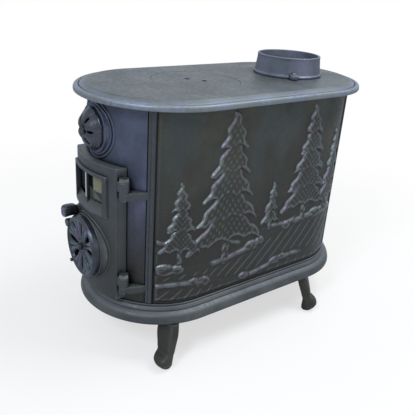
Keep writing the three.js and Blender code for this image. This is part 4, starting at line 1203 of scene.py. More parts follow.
@dataclass
class EndWall:
    """A round end wall with the channels that hold the side panels."""

    rear: bool
    edge: float = 49.4
    wall_edge: float = 46.7
    channel: tuple[float, float] = (47.48, 52.47)
    channel_z: tuple[float, float] = (132.1, 540.0)

    def channels(self) -> Surface:
        """Two upright channels of C section, open towards the side panels.

        A sunk line parts each from the wall, and its face has a ridge between two gutters.
        """
        low, high = self.channel
        tongue = self.wall_edge - 0.2
        outline = rounded(
            [
                (low, 145.5, 0.35), (high, 145.5, 0.35), (high, 148.7, 0), (self.edge, 148.7, 0),
                (self.edge, 155.3, 0), (high, 155.3, 0), (high, 158.2, 0.3),
                (high - 0.6, 158.4, 0.2), (high - 1.0, 159.2, 0.3), (high - 2.6, 159.0, 0.3),
                (high - 3.2, 157.2, 0.3), (low, 157.4, 0.5), (low, 151.5, 0),
                (tongue, 151.5, 0), (tongue, 149.2, 0), (low, 149.2, 0),
            ]
        )
        end = PLAN.rear if self.rear else PLAN.front
        way = 1 if self.rear else -1
        parts = []
        for side in (1, -1):
            angle = np.radians(outline[:, 0]) * side
            plan = outline[:, 1:] * np.stack([np.sin(angle), way * np.cos(angle)], -1)
            parts.append(prism(plan, *self.channel_z, Axis(0, end, 0)))
        return join(*parts)

    def wall(self) -> Surface:
        """The plain curved wall between the channels."""
        degrees = stations(-self.wall_edge, self.wall_edge, step=1.3)
        z = stations(PLAN.foot, PLAN.head, step=30)
        keep = np.ones((len(degrees) - 1, len(z) - 1), bool)
        outer = PLAN.arc_skin(PLAN.wall, degrees, z, self.rear)
        inner = PLAN.arc_skin(PLAN.wall_inside, degrees, z, self.rear)
        return plate(outer, inner, keep)

    def make(self, shop: Workshop) -> None:
        """Builds the rear wall."""
        finish = shop.finishes.shell
        node = ("rear_shell",)
        shop.make("rear_wall", self.wall(), "root", finish, "shell_iron", node, edges=0.7)
        shop.make("rear_channels", self.channels(), "root", shop.finishes.joint, "shell_iron")


@dataclass
class FrontWall(EndWall):
    """The door end's wall: the mouth, the hinge arms and the seat of the upper air wheel."""

    rear: bool = False
    mouth_half: float = 72.0
    mouth: tuple[float, float] = (150.0, 412.5)
    air_z: float = 482.7
    hinge_x: float = 96.0
    hinge_out: float = 145.0
    arm_levels: tuple[float, float] = (365.5, 158.5)
    arm: float = 15.5

    def wall(self) -> Surface:
        """The curved wall with the mouth left open."""
        out_edge = math.degrees(math.asin(self.mouth_half / PLAN.wall))
        in_edge = math.degrees(math.asin(self.mouth_half / PLAN.wall_inside))
        edge = self.wall_edge
        breaks = [-edge, -out_edge, out_edge, edge]
        degrees = stations(*breaks, step=1.3)
        inside = np.interp(degrees, breaks, [-edge, -in_edge, in_edge, edge])
        z = stations(PLAN.foot, *self.mouth, PLAN.head, step=20)
        angle, level = np.meshgrid(middles(degrees), middles(z), indexing="ij")
        keep = ~((abs(angle) < out_edge) & (level > self.mouth[0]) & (level < self.mouth[1]))
        outer = PLAN.arc_skin(PLAN.wall, degrees, z)
        return plate(outer, PLAN.arc_skin(PLAN.wall_inside, inside, z), keep)

    def hinge_arms(self) -> Surface:
        """Two arms, each a curved bracket with an eye for the pin."""
        x, y = self.hinge_x, PLAN.front - self.hinge_out
        t = np.linspace(0, 1, 14)[:, None]
        start, middle, end = np.array([(x + 3, y - 9.5), (x + 20, y + 22), (x + 21.5, y + 43)])
        bow = (1 - t) ** 2 * start + 2 * t * (1 - t) * middle + t**2 * end
        bracket = np.concatenate([bow, [[x + 14, y + 46], [x - 5, y + 20], [x - 7, y + 2]]])
        parts = []
        for low in self.arm_levels:
            parts.append(prism(bracket, low, low + self.arm, Axis(0, 0, 0)))
            parts.append(prism(circle(10.0), low, low + self.arm, Axis(x, y, 0)))
        return join(*parts)

    def air_seat(self) -> Surface:
        """The drum under the upper air wheel."""
        axis = PLAN.out_axis(0, self.air_z)
        side = rounded(
            [(40, 138, 0), (48, 138, 0), (48, 160, 1.2), (4.3, 160, 0), (4.3, 155, 0), (40, 155, 0)]
        )
        return turned(side, axis)

    def air_beads(self) -> Surface:
        """The step and the bead that lie on the wall round the drum."""
        step = rounded([(46, -3, 0), (52.5, -3, 0), (52.5, 3.2, 1.6), (46, 3.2, 0)])
        bead = rounded([(55, -3, 0), (59.4, -3, 0), (59.4, 2.6, 1.7), (55, 2.6, 1.7)])
        return join(*(PLAN.draped(outline, self.air_z, PLAN.wall) for outline in (step, bead)))

    def make(self, shop: Workshop) -> None:
        """Builds the wall and what is cast on it."""
        finish = shop.finishes.shell
        cutter = prism(circle(40.2), 120, 158, PLAN.out_axis(0, self.air_z))
        node = ("front_shell",)
        shop.make("front_wall", self.wall(), "root", finish, "shell_iron", node, 0.7, (cutter,))
        shop.make("front_channels", self.channels(), "root", shop.finishes.joint, "shell_iron")
        arms = self.hinge_arms()
        shop.make("hinge_arms", arms, "root", shop.finishes.door, "shell_iron", edges=1.3)
        slots = WheelSlots(6, 15, 31, 0.12, 180 / 6).cutters(150, 165, PLAN.out_axis(0, self.air_z))
        shop.make("air_seat", self.air_seat(), "root", finish, "shell_iron", cutters=[slots])
        shop.make("air_seat_beads", self.air_beads(), "root", finish, "shell_iron")


@dataclass(frozen=True)
class WheelSlots:
    """Leaf-shaped air slots round an axis.

    Attributes:
        count: how many slots.
        inner: radius where a slot starts.
        outer: radius where it ends.
        half: half its width, in radians.
        turn: where the first slot stands, in degrees.
    """

    count: int
    inner: float
    outer: float
    half: float
    turn: float = 0.0

    def width(self, radius: Array) -> Array:
        """Half a slot's width in radians: widest past its middle, and blunt at both ends."""
        share = np.clip((radius - self.inner) / (self.outer - self.inner), 0, 1)
        return self.half * (0.22 + 0.78 * np.sqrt(np.sin(np.pi * share**0.8) + 1e-9))

    def cutters(self, low: float, high: float, axis: Axis) -> Surface:
        """The slots as prisms."""
        radius = np.linspace(self.inner, self.outer, 14)
        width = self.width(radius)
        radius = np.concatenate([radius, radius[::-1]])
        width = np.concatenate([width, -width[::-1]])
        middle = np.radians(self.turn + 360 / self.count * np.arange(self.count))
        parts = []
        for angle in middle:
            spot = np.stack([radius * np.cos(angle + width), radius * np.sin(angle + width)], -1)
            parts.append(prism(spot, low, high, axis))
        return join(*parts)


# ---------- Side panels ----------


@dataclass(frozen=True)
class Hills:
    """One range of hills.

    Attributes:
        height: height of its crest at the panel's front edge.
        slope: how fast the crest climbs along the wall.
        waves: size, length and phase of each of the crest's waves.
        lift: how far the range stands out, and the distance in which it does.
        bead: depth below the crest, lift, half width and lump length of the bead along it.
        gaps: length and phase of the wave that parts the bead, and where it sets in.
        furrows: factors of s, z and s z in their lines, and their pitch, half width and lift.
        fade: depths below the crest between which the furrows begin.
    """

    height: float
    slope: float
    waves: tuple[tuple[float, float, float], ...]
    lift: tuple[float, float]
    bead: tuple[float, float, float, float]
    gaps: tuple[float, float, float, float]
    furrows: Optional[tuple[float, float, float, float, float, float]] = None
    fade: tuple[float, float] = (0.0, 0.0)

    def crest(self, s: Array) -> Array:
        """Height of the crest: height + slope s + the sum of size sin(s / length + phase)."""
        total = self.height + self.slope * s
        for size, length, phase in self.waves:
            total = total + size * np.sin(s / length + phase)
        return total

    def ploughed(self, s: Array, z: Array) -> Array:
        """Furrows as ridges exp(-(d / half)^2), d the distance from the nearest rising line."""
        along, up, both, pitch, half, lift = self.furrows
        bend = (along * s - up * z + both * s * z) / pitch
        ridge = np.exp(-(((bend - np.round(bend)) * pitch / half) ** 2))
        return lift * ridge * smooth_step(self.crest(s) - z, *self.fade)


@dataclass
class Relief:
    """A landscape in low relief: hills with furrows, rocks and fir trees.

    Lengths run from the panel's front edge along the wall, heights from the panel's foot.

    Attributes:
        length, height: size of the panel that the scene is laid out for.
        most: the most that anything stands out.
        gutter: lengths between which the face is sunk beside each end.
        sunk: how deep that is.
        foot, head: heights of the plain borders.
    """

    length: float = 548.0
    height: float = 426.4
    most: float = 5.4
    gutter: tuple[float, float] = (7.2, 10.4)
    sunk: float = 1.8
    foot: float = 9.0
    head: float = 17.0

    # The near, the middle and the far range.
    RANGES = (
        Hills(
            46, -0.03, ((12, 52, 0.3),), (0.9, 3.0), (6.0, 3.4, 5.8, 10.0), (44, 0.4, -0.6, 0.0),
            (0.62, 0.78, 0.0016, 19.0, 2.2, 0.8), (10, 18),
        ),
        Hills(
            84, 0.1, ((13, 77, 2.4),), (0.8, 2.4), (6.5, 4.2, 6.5, 13.0), (37, 2.2, -0.55, 0.0),
            (0.52, 0.86, 0.0009, 17.0, 2.1, 0.85), (12, 20),
        ),
        Hills(
            138, 0, ((15, 61, 0.6), (8, 24, 2.0)), (0.7, 2.0), (4.6, 3.4, 4.6, 8.0),
            (26, 1.0, -0.1, 0.4),
        ),
    )
    # Place, foot, height, half width of the lowest tier, and tiers of each fir.
    FIRS = (
        (176.0, 70.0, 322.0, 98.0, 5),
        (405.0, 118.0, 268.0, 72.0, 5),
        (494.0, 132.0, 196.0, 48.0, 4),
        (62.0, 96.0, 168.0, 44.0, 3),
        (300.0, 122.0, 108.0, 28.0, 3),
    )
    # Place, range it lies on, and half sizes of each boulder.
    BOULDERS = (
        (32, 1, 22, 13), (57, 1, 15, 10), (250, 1, 19, 12), (274, 1, 13, 9), (352, 1, 13, 10),
        (446, 1, 20, 12), (470, 1, 14, 9), (508, 1, 12, 8), (96, 0, 15, 9), (119, 0, 20, 12),
        (236, 0, 15, 9), (330, 0, 18, 10), (352, 0, 12, 8),
    )

    def lie(self, inside: Array, lift: float, soft: float) -> Array:
        """A raised flat: lift, reached smoothly as the distance inside its edge grows to soft."""
        return lift * smooth_step(inside, 0.0, soft)

    def scales(self, u: Array, v: Array, wide: float, tall: float) -> Array:
        """Overlapping rounded leaf scales in staggered rows: the highest sqrt(1 - a^2 - b^2)."""
        best = np.zeros_like(u)
        row = np.floor(v / tall)
        for line in (row, row + 1):
            across = u / wide + 0.5 * (line % 2)
            a = (across - np.round(across)) * 1.75
            b = v / tall - line
            best = np.maximum(best, np.sqrt(np.clip(1 - a**2 - b**2, 0, 1)))
        return best

    def bead(self, off: Array, along: Array, lift: float, half: float, lump: float) -> Array:
        """A lumpy bead: lift * exp(-(off / half)^2), swelling and shrinking along its length."""
        swell = 0.62 + 0.38 * abs(np.sin(along / lump))
        return lift * swell * np.exp(-((off / (half * (0.75 + 0.25 * swell))) ** 2))

    def fir(
        self, s: Array, z: Array, x: float, foot: float, tall: float, wide: float, tiers: int
    ) -> Array:
        """A fir tree of drooping tiers.

        Each tier is a triangle of leaf scales with a scalloped foot, thickest at that foot, so
        that it overhangs the tier below; the trunk shows between them.

        Args:
            s: length along the wall.
            z: height.
            x: the trunk's place.
            foot: height of the trunk's foot.
            tall: the tree's height.
            wide: half width of the lowest tier.
            tiers: how many tiers.

        Returns:
            How far the tree stands out.
        """
        sway = 3.0 * np.sin((z - foot) / 38.0 + x)
        across = s - x - sway * smooth_step(z, foot, foot + tall)
        trunk = np.minimum(wide * 0.07 - abs(across) + 2.5, np.minimum(z - foot, foot + tall - z))
        bark = 1 + 0.22 * np.sin(z / 3.4 + 1.5 * np.sin(across / 1.9))
        best = self.lie(trunk, 3.2, 2.4) * bark
        leaf = max(7.0, wide * 0.12)
        leaves = self.scales(across, z + 0.3 * abs(across), leaf * 1.3, leaf * 0.9)
        for k in range(tiers):
            share = k / tiers
            low = foot + tall * (0.17 + 0.8 * share)
            top = low + tall * (0.9 / tiers + 0.06)
            half = wide * (1 - 0.8 * share**0.9)
            spread = abs(across) / half
            scallop = abs(np.sin(across / half * (6.5 - k) + k))
            droop = low - 0.17 * half * spread**2 + leaf * 0.75 * scallop
            slope = half * np.clip((top - z) / (top - low), 0, 1) ** 0.75
            jag = 0.3 * leaf * np.sin(z / leaf * 2.2 + k * 2.0 + np.sign(across) * 0.8)
            inside = np.minimum(np.minimum(slope - abs(across) + jag, z - droop), top + 2.0 - z)
            tilt = 1.0 - 0.72 * np.clip((z - droop) / (top - low), 0, 1)
            bough = self.lie(inside, 1.0, 2.8) * (3.0 * tilt + 2.3 * leaves)
            best = np.maximum(best, bough)
        return best

    def ground(self, s: Array, z: Array) -> Array:
        """Three ranges of hills with lumpy crests, the nearer two ploughed in rising furrows."""
        near, middle, far = self.RANGES
        total = np.zeros_like(s)
        for hills in (far, middle, near):
            below = hills.crest(s) - z
            depth, lift, half, lump = hills.bead
            length, phase, low, high = hills.gaps
            total += self.lie(below, *hills.lift)
            bead = self.bead(below - depth, s, lift, half, lump)
            total += bead * smooth_step(np.sin(s / length + phase), low, high)
            if hills is middle:
                total += hills.ploughed(s, z) * smooth_step(z - near.crest(s), 0, 8)
        return total + near.ploughed(s, z)

    def rocks(self, s: Array, z: Array) -> Array:
        """Rounded boulders: the height of a low dome, sqrt(1 - d^2), with a few facets."""
        total = np.zeros_like(s)
        for x, hill, a, b in self.BOULDERS:
            y = self.RANGES[hill].crest(x) - 0.45 * b
            d = np.sqrt(((s - x) / a) ** 2 + ((z - y) / b) ** 2)
            dome = np.sqrt(np.clip(1 - d**2, 0, 1))
            facets = 0.5 * np.sin(s / 4.2 + x) * np.sin(z / 3.1 + y)
            total = np.maximum(total, smooth_step(dome, 0.0, 0.45) * (3.4 + 1.4 * dome + facets))
        return total

    def field(self, s: Array, z: Array) -> Array:
        """How far inside the panel's border a point lies, in millimetres."""
        return np.minimum(
            np.minimum(s - self.gutter[1], self.length - self.gutter[1] - s),
            np.minimum(z - self.foot, self.height - self.head - z),
        )

    def surface(self, s: Array, z: Array) -> Array:
        """How far the whole scene stands out, faded to nothing at the border and sunk beside it."""
        total = np.maximum.reduce([self.ground(s, z), *(self.fir(s, z, *row) for row in self.FIRS)])
        total = np.clip(np.maximum(total, self.rocks(s, z)), 0, self.most)
        end = np.minimum(s, self.length - s)
        begun = smooth_step(end, self.gutter[0] - 1.6, self.gutter[0])
        ended = smooth_step(end, self.gutter[1] - 1.2, self.gutter[1] + 0.4)
        return total * smooth_step(self.field(s, z), 0, 6) - self.sunk * begun * (1 - ended)


@dataclass
class SidePanel:
    """A side panel: flat, bent round both corners, with a landscape cast on its face."""

    side: int
    start: float = 49.75
    columns: int = 342
    rows: int = 254
    relief: Relief = field(default_factory=Relief)
    ledge_z: tuple[float, float] = (450.7, 457.7)
    ledge_y: tuple[float, float] = (-88.8, 171.2)

    def point(self, s: Array, out: Array) -> Array:
        """Plan position at a length along the wall and a distance out of its middle line.

        Round a corner the angle grows evenly with the length; between the corners the wall
        is straight.

        Args:
            s: length from the front edge, on the wall's outer face.
            out: distance from the end's centre, or from the middle line.

        Returns:
            Rows of x and y.
        """
        bend = math.radians(90 - self.start) * PLAN.wall
        straight = PLAN.rear - PLAN.front
        before = (np.clip(s, 0, bend) - bend) / PLAN.wall
        after = (np.clip(s, bend + straight, None) - bend - straight) / PLAN.wall
        angle = before + after
        y = PLAN.front + np.clip(s - bend, 0, straight)
        return np.stack([self.side * out * np.cos(angle), y + out * np.sin(angle)], -1)

    def make(self, shop: Workshop) -> None:
        """Builds the panel: the relief in front, one strip to each column behind.

        Crests are lightened, as scuffed blacking and as painted highlight, and the faces that look
        up and to the door end get painted highlight.
        """
        length = 2 * math.radians(90 - self.start) * PLAN.wall + PLAN.rear - PLAN.front
        across = np.linspace(0, length, self.columns)
        up = np.linspace(0, PLAN.head - PLAN.foot, self.rows)
        s, z = np.meshgrid(across, up, indexing="ij")
        scale = self.relief.length / length
        lift = self.relief.surface(s * scale, z)
        along, rise = np.gradient(lift, across[1], up[1])
        # Painted highlight on the faces that look up and to the door end.
        light_facing = 0.6 * along - 0.8 * rise
        around = [np.roll(lift, shift, axis) for shift in (4, -4) for axis in (0, 1)]
        crest = lift - sum(around) / len(around)
        wear_and_light = 0.75 * smooth_step(light_facing, 0.16, 1.0) + 0.3 * smooth_step(crest, 0.1, 0.9)
        wear_and_light = np.clip(wear_and_light, 0, 1) * smooth_step(self.relief.field(s * scale, z), 1, 8)
        face = np.concatenate([self.point(s, PLAN.wall + lift), (z + PLAN.foot)[..., None]], -1)
        back_s, back_z = np.meshgrid(across, [PLAN.foot, PLAN.head], indexing="ij")
        inside = np.full_like(back_s, PLAN.wall_inside)
        back = np.concatenate([self.point(back_s, inside), back_z[..., None]], -1)
        surface = join(sheet(face), sheet(back))
        number = numbered(*face.shape[:2], False)
        behind = numbered(len(across), 2, False) + number.size
        for k in (0, -1):
            rim = [number[:-1, k], number[1:, k], behind[1:, k], behind[:-1, k]]
            surface.quads = np.concatenate([surface.quads, np.stack(rim, -1)])
            surface.caps.append(np.concatenate([number[k], behind[k, ::-1]]))
        surface.wear_and_light = np.concatenate([wear_and_light.ravel(), np.zeros(behind.size)])
        name = "right" if self.side > 0 else "left"
        panel = shop.build("relief_panel_" + name, surface)
        node = ("side_panel_" + name,)
        shop.dress(panel, "root", shop.finishes.panel, node, smooth=60.0)
        x = sorted((self.side * (PLAN.wall_inside - 10), self.side * (PLAN.wall_inside + 1)))
        ledge = bar(x, self.ledge_y, self.ledge_z)
        finish = shop.finishes.grate
        shop.make("baffle_ledge_" + name, ledge, "root", finish, "panel_iron", edges=1.0)


# ---------- Top plate, lid, collar ----------


@dataclass
class TopPlate:
    """The top casting: flat field, sloping band, groove and rolled lip."""

    field_z: float = 561.3
    under: float = 552.3
    field_radius: float = 159.5
    lip: float = 183.0
    lid_y: float = -75.8
    lid_seat: float = 95.5
    lid_hole: float = 88.0
    seat_z: float = 556.0
    flue_y: float = 193.2
    flue_hole: float = 66.0
    bosses: tuple[tuple[float, float], ...] = (
        (97, -241.8), (-97, -241.8), (97, 264.2), (-97, 264.2),
    )

    def outline(self) -> Array:
        """The section from the middle line out over the lip and back underneath."""
        z, r, lip, under = self.field_z, self.field_radius, self.lip, self.under
        return rounded(
            [
                (0, z, 0), (r - 4, z, 0), (r, z, 1.2), (r + 1.6, z - 1.2, 1), (170, z - 5.2, 1),
                (171.5, z - 8.4, 0.7), (173.2, z - 5.4, 1), (180.6, z - 5.4, 4.4),
                (lip, z - 13.5, 3), (lip - 1.2, z - 17, 1.3), (lip - 4.6, z - 16.2, 1),
                (lip - 9, under - 3, 2), (158.4, under, 1), (158.4, under - 5, 1),
                (155.4, under - 5, 1), (155.4, under, 0.5), (0, under, 0),
            ]
        )

    def make(self, shop: Workshop) -> None:
        """Builds the plate, with the lid's seat and the flue's hole carved out."""
        boss = rounded([(0, 538.3, 0), (12, 538.3, 1), (12, 553, 0), (0, 553, 0)])
        bosses = join(*(turned(boss, Axis(x, y, 0), 32) for x, y in self.bosses))
        lid, flue = Axis(0, self.lid_y, 0), Axis(0, self.flue_y, 0)
        above, below = self.field_z + 5, self.under - 5
        cutters = [
            prism(circle(self.lid_seat, 128), self.seat_z, above, lid),
            prism(circle(self.lid_hole, 128), below, above, lid),
            prism(circle(self.flue_hole, 96), below, above, flue),
        ]
        piece = shop.build("top_casting", PLAN.swept(self.outline(), polished_and_lit=self.field_radius))
        shop.carve(piece, cutters)
        shop.dress(piece, "root", shop.finishes.plate, ("top_plate",))
        shop.make("top_bosses", bosses, "root", shop.finishes.grate, "plate_iron")


@dataclass
class HotplateLid:
    """The round lid that lifts out, with two pockets for the lifter."""

    y: float = -75.8
    radius: float = 95.0
    top: float = 561.3
    under: float = 556.3
    boss: float = 40.0
    boss_under: float = 552.3
    pocket: float = 6.0
    pocket_out: float = 19.0
    pocket_turn: float = 39.0
    pocket_floor: float = 555.8

    def make(self, shop: Workshop) -> None:
        """Builds the lid."""
        top, under, r = self.top, self.under, self.radius
        outline = rounded(
            [
                (0, top, 0), (r - 3, top, 0), (r, top, 1.1), (r, under, 0.8),
                (self.boss, under, 0.8), (self.boss, self.boss_under, 0.8), (0, self.boss_under, 0),
            ]
        )
        turn = math.radians(self.pocket_turn)
        out_x, out_y = self.pocket_out * math.cos(turn), self.pocket_out * math.sin(turn)
        pockets = []
        for side in (1, -1):
            axis = Axis(side * out_x, self.y + side * out_y, 0)
            pockets.append(prism(circle(self.pocket, 40), self.pocket_floor, top + 5, axis))
        surface = turned(outline, Axis(0, self.y, 0), 128)
        finish, node = shop.finishes.plate, ("hotplate_lid",)
        shop.make("hotplate_round", surface, "lid", finish, "plate_iron", node, cutters=pockets)


@dataclass
class FlueCollar:
    """The flue collar, with two lugs that screw it down."""

    y: float = 193.2
    foot: float = 561.6
    top: float = 606.3
    bore: float = 68.0
    lug_angle: float = -34.0
    lug_top: float = 572.6

    def make(self, shop: Workshop) -> None:
        """Builds the collar and its lugs."""
        foot, top = self.foot, self.top
        outline = rounded(
            [
                (self.bore, foot, 0), (80.4, foot, 0.6), (80.4, foot + 4.4, 1.6),
                (77.4, foot + 6.4, 2.2), (73.3, top - 6, 4), (73.6, top, 1.8),
                (self.bore, top, 1.6),
            ]
        )
        ring = shop.build("flue_ring", turned(outline, Axis(0, self.y, 0), 128))
        shop.dress(ring, "root", shop.finishes.collar, ("flue_collar",))
        t = np.linspace(-np.pi / 2, np.pi / 2, 24)
        tip = np.stack([86 + 10 * np.cos(t), 10 * np.sin(t)], -1)
        lug = np.concatenate([[[71, -11]], tip, [[71, 11]]])
        parts = []
        for angle in np.radians([self.lug_angle, self.lug_angle + 180]):
            turn = np.array([[np.cos(angle), np.sin(angle)], [-np.sin(angle), np.cos(angle)]])
            parts.append(prism(lug @ turn, foot, self.lug_top, Axis(0, self.y, 0)))
        shop.make("flue_lugs", join(*parts), "root", shop.finishes.collar, "shell_iron", edges=1.8)


# ---------- Door ----------


@dataclass
class Door:
    """The curved door with its raised window frame, air drum, latch boss and knuckles.

    The outer, inner and frame_outer radii, the rim's back and the drum's face are counted
    from the end's centre. The window's opening is wider in front than behind.
    """

    STEP = 3.2  # The most that the grid's columns on the door's round stand apart.

    half: float = 85.0
    outer: float = 177.0
    inner: float = 171.0
    rim_back: float = 158.0
    rim: float = 9.0
    bottom: float = 139.0
    top: float = 425.5
    frame_half: float = 66.0
    frame_outer: float = 182.0
    frame_z: tuple[float, float] = (318.0, 405.0)
    window_half: float = 57.0
    window_front: tuple[float, float] = (323.0, 399.0)
    window_back: tuple[float, float] = (341.0, 395.0)
    drum_z: float = 234.5
    drum: float = 68.0
    drum_face: float = 181.5
    latch: tuple[float, float] = (-58.0, 290.0)
    hinge: tuple[float, float] = (96.0, -298.8)
    knuckle_levels: tuple[float, float] = (381.3, 174.3)
    knuckle: float = 20.5

    def slab(self) -> Surface:
        """The curved slab, with the window frame's place left open."""
        x = stations(-self.half, -self.frame_half, self.frame_half, self.half, step=self.STEP)
        z = stations(self.bottom, *self.frame_z, self.top, step=16)
        across, up = np.meshgrid(middles(x), middles(z), indexing="ij")
        keep = ~((abs(across) < self.frame_half) & (up > self.frame_z[0]) & (up < self.frame_z[1]))
        return plate(PLAN.front_skin(self.outer, x, z), PLAN.front_skin(self.inner, x, z), keep)

    def back_rim(self) -> Surface:
        """The rim that stands on the back of the slab, all round."""
        edge = self.half - self.rim
        x = stations(-self.half, -edge, edge, self.half, step=self.STEP)
        low, high = self.bottom + self.rim, self.top - self.rim
        z = stations(self.bottom, low, high, self.top, step=16)
        across, up = np.meshgrid(middles(x), middles(z), indexing="ij")
        keep = (abs(across) > edge) | (up < low) | (up > high)
        joined = PLAN.front_skin(self.inner + 0.5, x, z)
        return plate(joined, PLAN.front_skin(self.rim_back, x, z), keep)

    def window(self) -> Surface:
        """The raised frame: its opening is wider in front, so the sill and the head slope."""
        out, half = self.frame_half, self.window_half
        x = stations(-out, -half, half, out, step=self.STEP)
        low, high = self.frame_z
        front = PLAN.front_skin(self.frame_outer, x, np.array([low, *self.window_front, high]))
        back = PLAN.front_skin(self.inner, x, np.array([low, *self.window_back, high]))
        keep = np.ones((len(x) - 1, 3), bool)
        keep[abs(middles(x)) < half, 1] = False
        return plate(front, back, keep)

    def drum_surface(self) -> Surface:
        """The drum under the lower air wheel, with its face."""
        out, face = self.drum, self.drum_face
        side = rounded(
            [
                (out - 6, 157.2, 0), (out, 157.2, 0), (out, face, 1.6),
                (4.4, face, 0), (4.4, face - 5, 0), (out - 6, face - 5, 0),
            ]
        )
        return turned(side, PLAN.out_axis(0, self.drum_z), 128)

    def drum_bead(self) -> Surface:
        """The bead that lies on the door round the drum's foot."""
        bead = [(66, -2, 0), (73.4, -2, 0), (73.4, 2.4, 1.8), (69, 2.4, 1.6), (66, 1.0, 0.4)]
        return PLAN.draped(rounded(bead), self.drum_z, self.outer, 128)

    def make(self, shop: Workshop) -> None:
        """Builds the door's pieces."""
        finish = shop.finishes.door
        drum = PLAN.out_axis(0, self.drum_z)
        hole = prism(circle(self.drum - 5, 96), 150, 190, drum)
        shop.make("door_slab", self.slab(), "door", finish, "shell_iron", ("door",), 1.3, (hole,))
        shop.make("door_rim", self.back_rim(), "door", finish, "shell_iron", edges=1.0)
        shop.make("window_frame", self.window(), "door", finish, "shell_iron", edges=1.2)
        mullion = bar((-2.5, 2.5), (PLAN.front - 177.0, PLAN.front - self.inner), (330, 400))
        shop.make("window_bar", mullion, "door", shop.finishes.joint, "shell_iron", edges=0.9)
        # A pale strip that paints the highlight along the mullion's front edge.
        strip = bar((-2.5, 0.6), (PLAN.front - 177.9, PLAN.front - 176.6), (344.0, 398.6))
        shop.make("window_bar_highlight_strip", strip, "door", shop.finishes.mullion_highlight, "steel", edges=0.5)
        slots = WheelSlots(8, 20, 54, 0.13, 180 / 8).cutters(170, 186, drum)
        shop.make("air_drum", self.drum_surface(), "door", finish, "shell_iron", cutters=[slots])
        shop.make("air_drum_bead", self.drum_bead(), "door", finish, "shell_iron")
        x, z = self.latch
        boss = [(0, 160, 0), (15, 160, 0), (15, 165.5, 2), (12, 168, 2), (12, 173, 1), (0, 173, 0)]
        surface = turned(rounded(boss), PLAN.out_axis(x, z), 48)
        shop.make("latch_boss", surface, "door", finish, "shell_iron")
        x, y = self.hinge
        parts = []
        for low in self.knuckle_levels:
            high = low + self.knuckle
            parts.append(prism(circle(10.0, 48), low, high, Axis(x, y, 0)))
            parts.append(bar((self.half - 4, x), (y - 9, y + 5), (low, high)))
        shop.make("door_knuckles", join(*parts), "door", finish, "shell_iron", edges=1.2)


# ---------- Air wheels, latch ----------


@dataclass
class AirWheel:
    """A round damper that turns on a bolt: ribs between leaf-shaped slots.

    Attributes:
        name: the frame node it stands for.
        body: the body it rides on.
        z: height of its axis.
        foot: where its back lies, from the end's centre.
        slots: its slots.
        profile: rows of radius and height above the foot.
        lugs: rows of angle, radius, size and height of the knobs on its rim.
        crown: how far the ribs stand above the slots' edges.
        flute: share by which the rim draws in at the slots.
        ridges: ridges on each rib.
        worn_and_lit: how far the ribs' crests are scuffed and given painted highlight.
    """

    name: str
    body: str
    z: float
    foot: float
    slots: WheelSlots
    profile: tuple[tuple[float, float], ...]
    lugs: tuple[tuple[float, float, float, float], ...] = ()
    crown: float = 0.0
    flute: float = 0.0
    ridges: int = 1
    worn_and_lit: float = 0.8

    COLUMNS = 28  # Stations to each slot's share of the turn.
    # Scuffing and painted highlight on the rim beyond the slots.
    RIM_WEAR_AND_LIGHT = 0.12

    def face(self) -> Surface:
        """The wheel by turn and radius, its slots left open.

        Inside each slot's share of the turn the angle runs from edge to edge of the slot, and
        beyond it to halfway to the next, so the grid follows the slots' curved edges.

        Returns:
            A closed surface.
        """
        profile = np.array(self.profile)
        rim = profile[-1, 0]
        inner, outer, count = self.slots.inner, self.slots.outer, self.slots.count
        radius = stations(profile[0, 0], inner, outer, rim, step=1.0)
        half_step = math.pi / count
        u = np.linspace(-1, 1, self.COLUMNS, endpoint=False)
        u = np.sort(np.concatenate([u, [-0.5, 0.5]]))
        u = u[np.concatenate([[True], np.diff(u) > 1e-9])]
        away = abs(u[:, None])
        width = self.slots.width(radius)
        inside = u[:, None] * 2 * width
        beyond = np.sign(u)[:, None] * (width + (away - 0.5) * 2 * (half_step - width))
        turn = np.where(away <= 0.5, inside, beyond)
        middle = np.radians(self.slots.turn) + 2 * half_step * np.arange(count)
        angle = (middle[:, None, None] + turn).reshape(-1, len(radius))
        rib = np.clip((abs(u) - 0.5) * 2, 0, 1)
        ridge = abs(np.sin(rib * np.pi * self.ridges / 2)) ** 0.7
        swell = 0.35 * np.sin(rib * np.pi / 2) + 0.65 * ridge
        rise = np.tile(np.where(rib > 0, swell, 0), count)[:, None]
        zone = smooth_step(radius, inner - 9, inner + 3)
        zone = zone * (1 - smooth_step(radius, outer - 2, outer + 4))
        height = np.interp(radius, profile[:, 0], profile[:, 1])
        height = height + self.crown * (rise - 0.5) * zone
        # Rib crests and rim are scuffed and lightened with painted highlight.
        rubbed_and_lit = self.worn_and_lit * rise**1.5 * zone + self.RIM_WEAR_AND_LIGHT * (radius > outer)
        share = 1 + self.flute * (rise - 1) * smooth_step(radius, 12, rim)
        axis = PLAN.out_axis(0, self.z)
        a, b = radius * share * np.cos(angle), radius * share * np.sin(angle)
        front = axis.place(a, b, self.foot + height)
        back = axis.place(a, b, np.full_like(height, self.foot))
        row = np.tile(abs(u + np.diff(u, append=1.0) / 2) > 0.5, count)
        column = middles(radius)
        outside = (column < inner) | (column > outer)
        surface = plate(front, back, row[:, None] | outside, wrap_rows=True)
        surface.wear_and_light = np.concatenate([rubbed_and_lit.ravel(), np.zeros(rubbed_and_lit.size)])
        return surface

    def knobs(self) -> list[Surface]:
        """The small knobs on the rim that a tool turns the wheel by."""
        parts = []
        for angle, radius, size, height in self.lugs:
            turn = math.radians(angle)
            outline = rounded([(0, 3, 0), (size, 3, 1), (size, height, 2), (0, height, 0)])
            x, z = radius * math.cos(turn), self.z + radius * math.sin(turn)
            axis = Axis(x, PLAN.front - self.foot, z, outward=True)
            parts.append(turned(outline, axis, 32))
        return parts

    def make(self, shop: Workshop) -> None:
        """Builds the wheel."""
        finish, node = shop.finishes.fitting, (self.name,)
        face = self.face()
        shop.make(self.name + "_cast", face, self.body, finish, "fitting_iron", node, edges=0.5)
        for count, knob in enumerate(self.knobs(), 1):
            shop.make(f"{self.name}_knob_{count}", knob, self.body, finish, "fitting_iron")


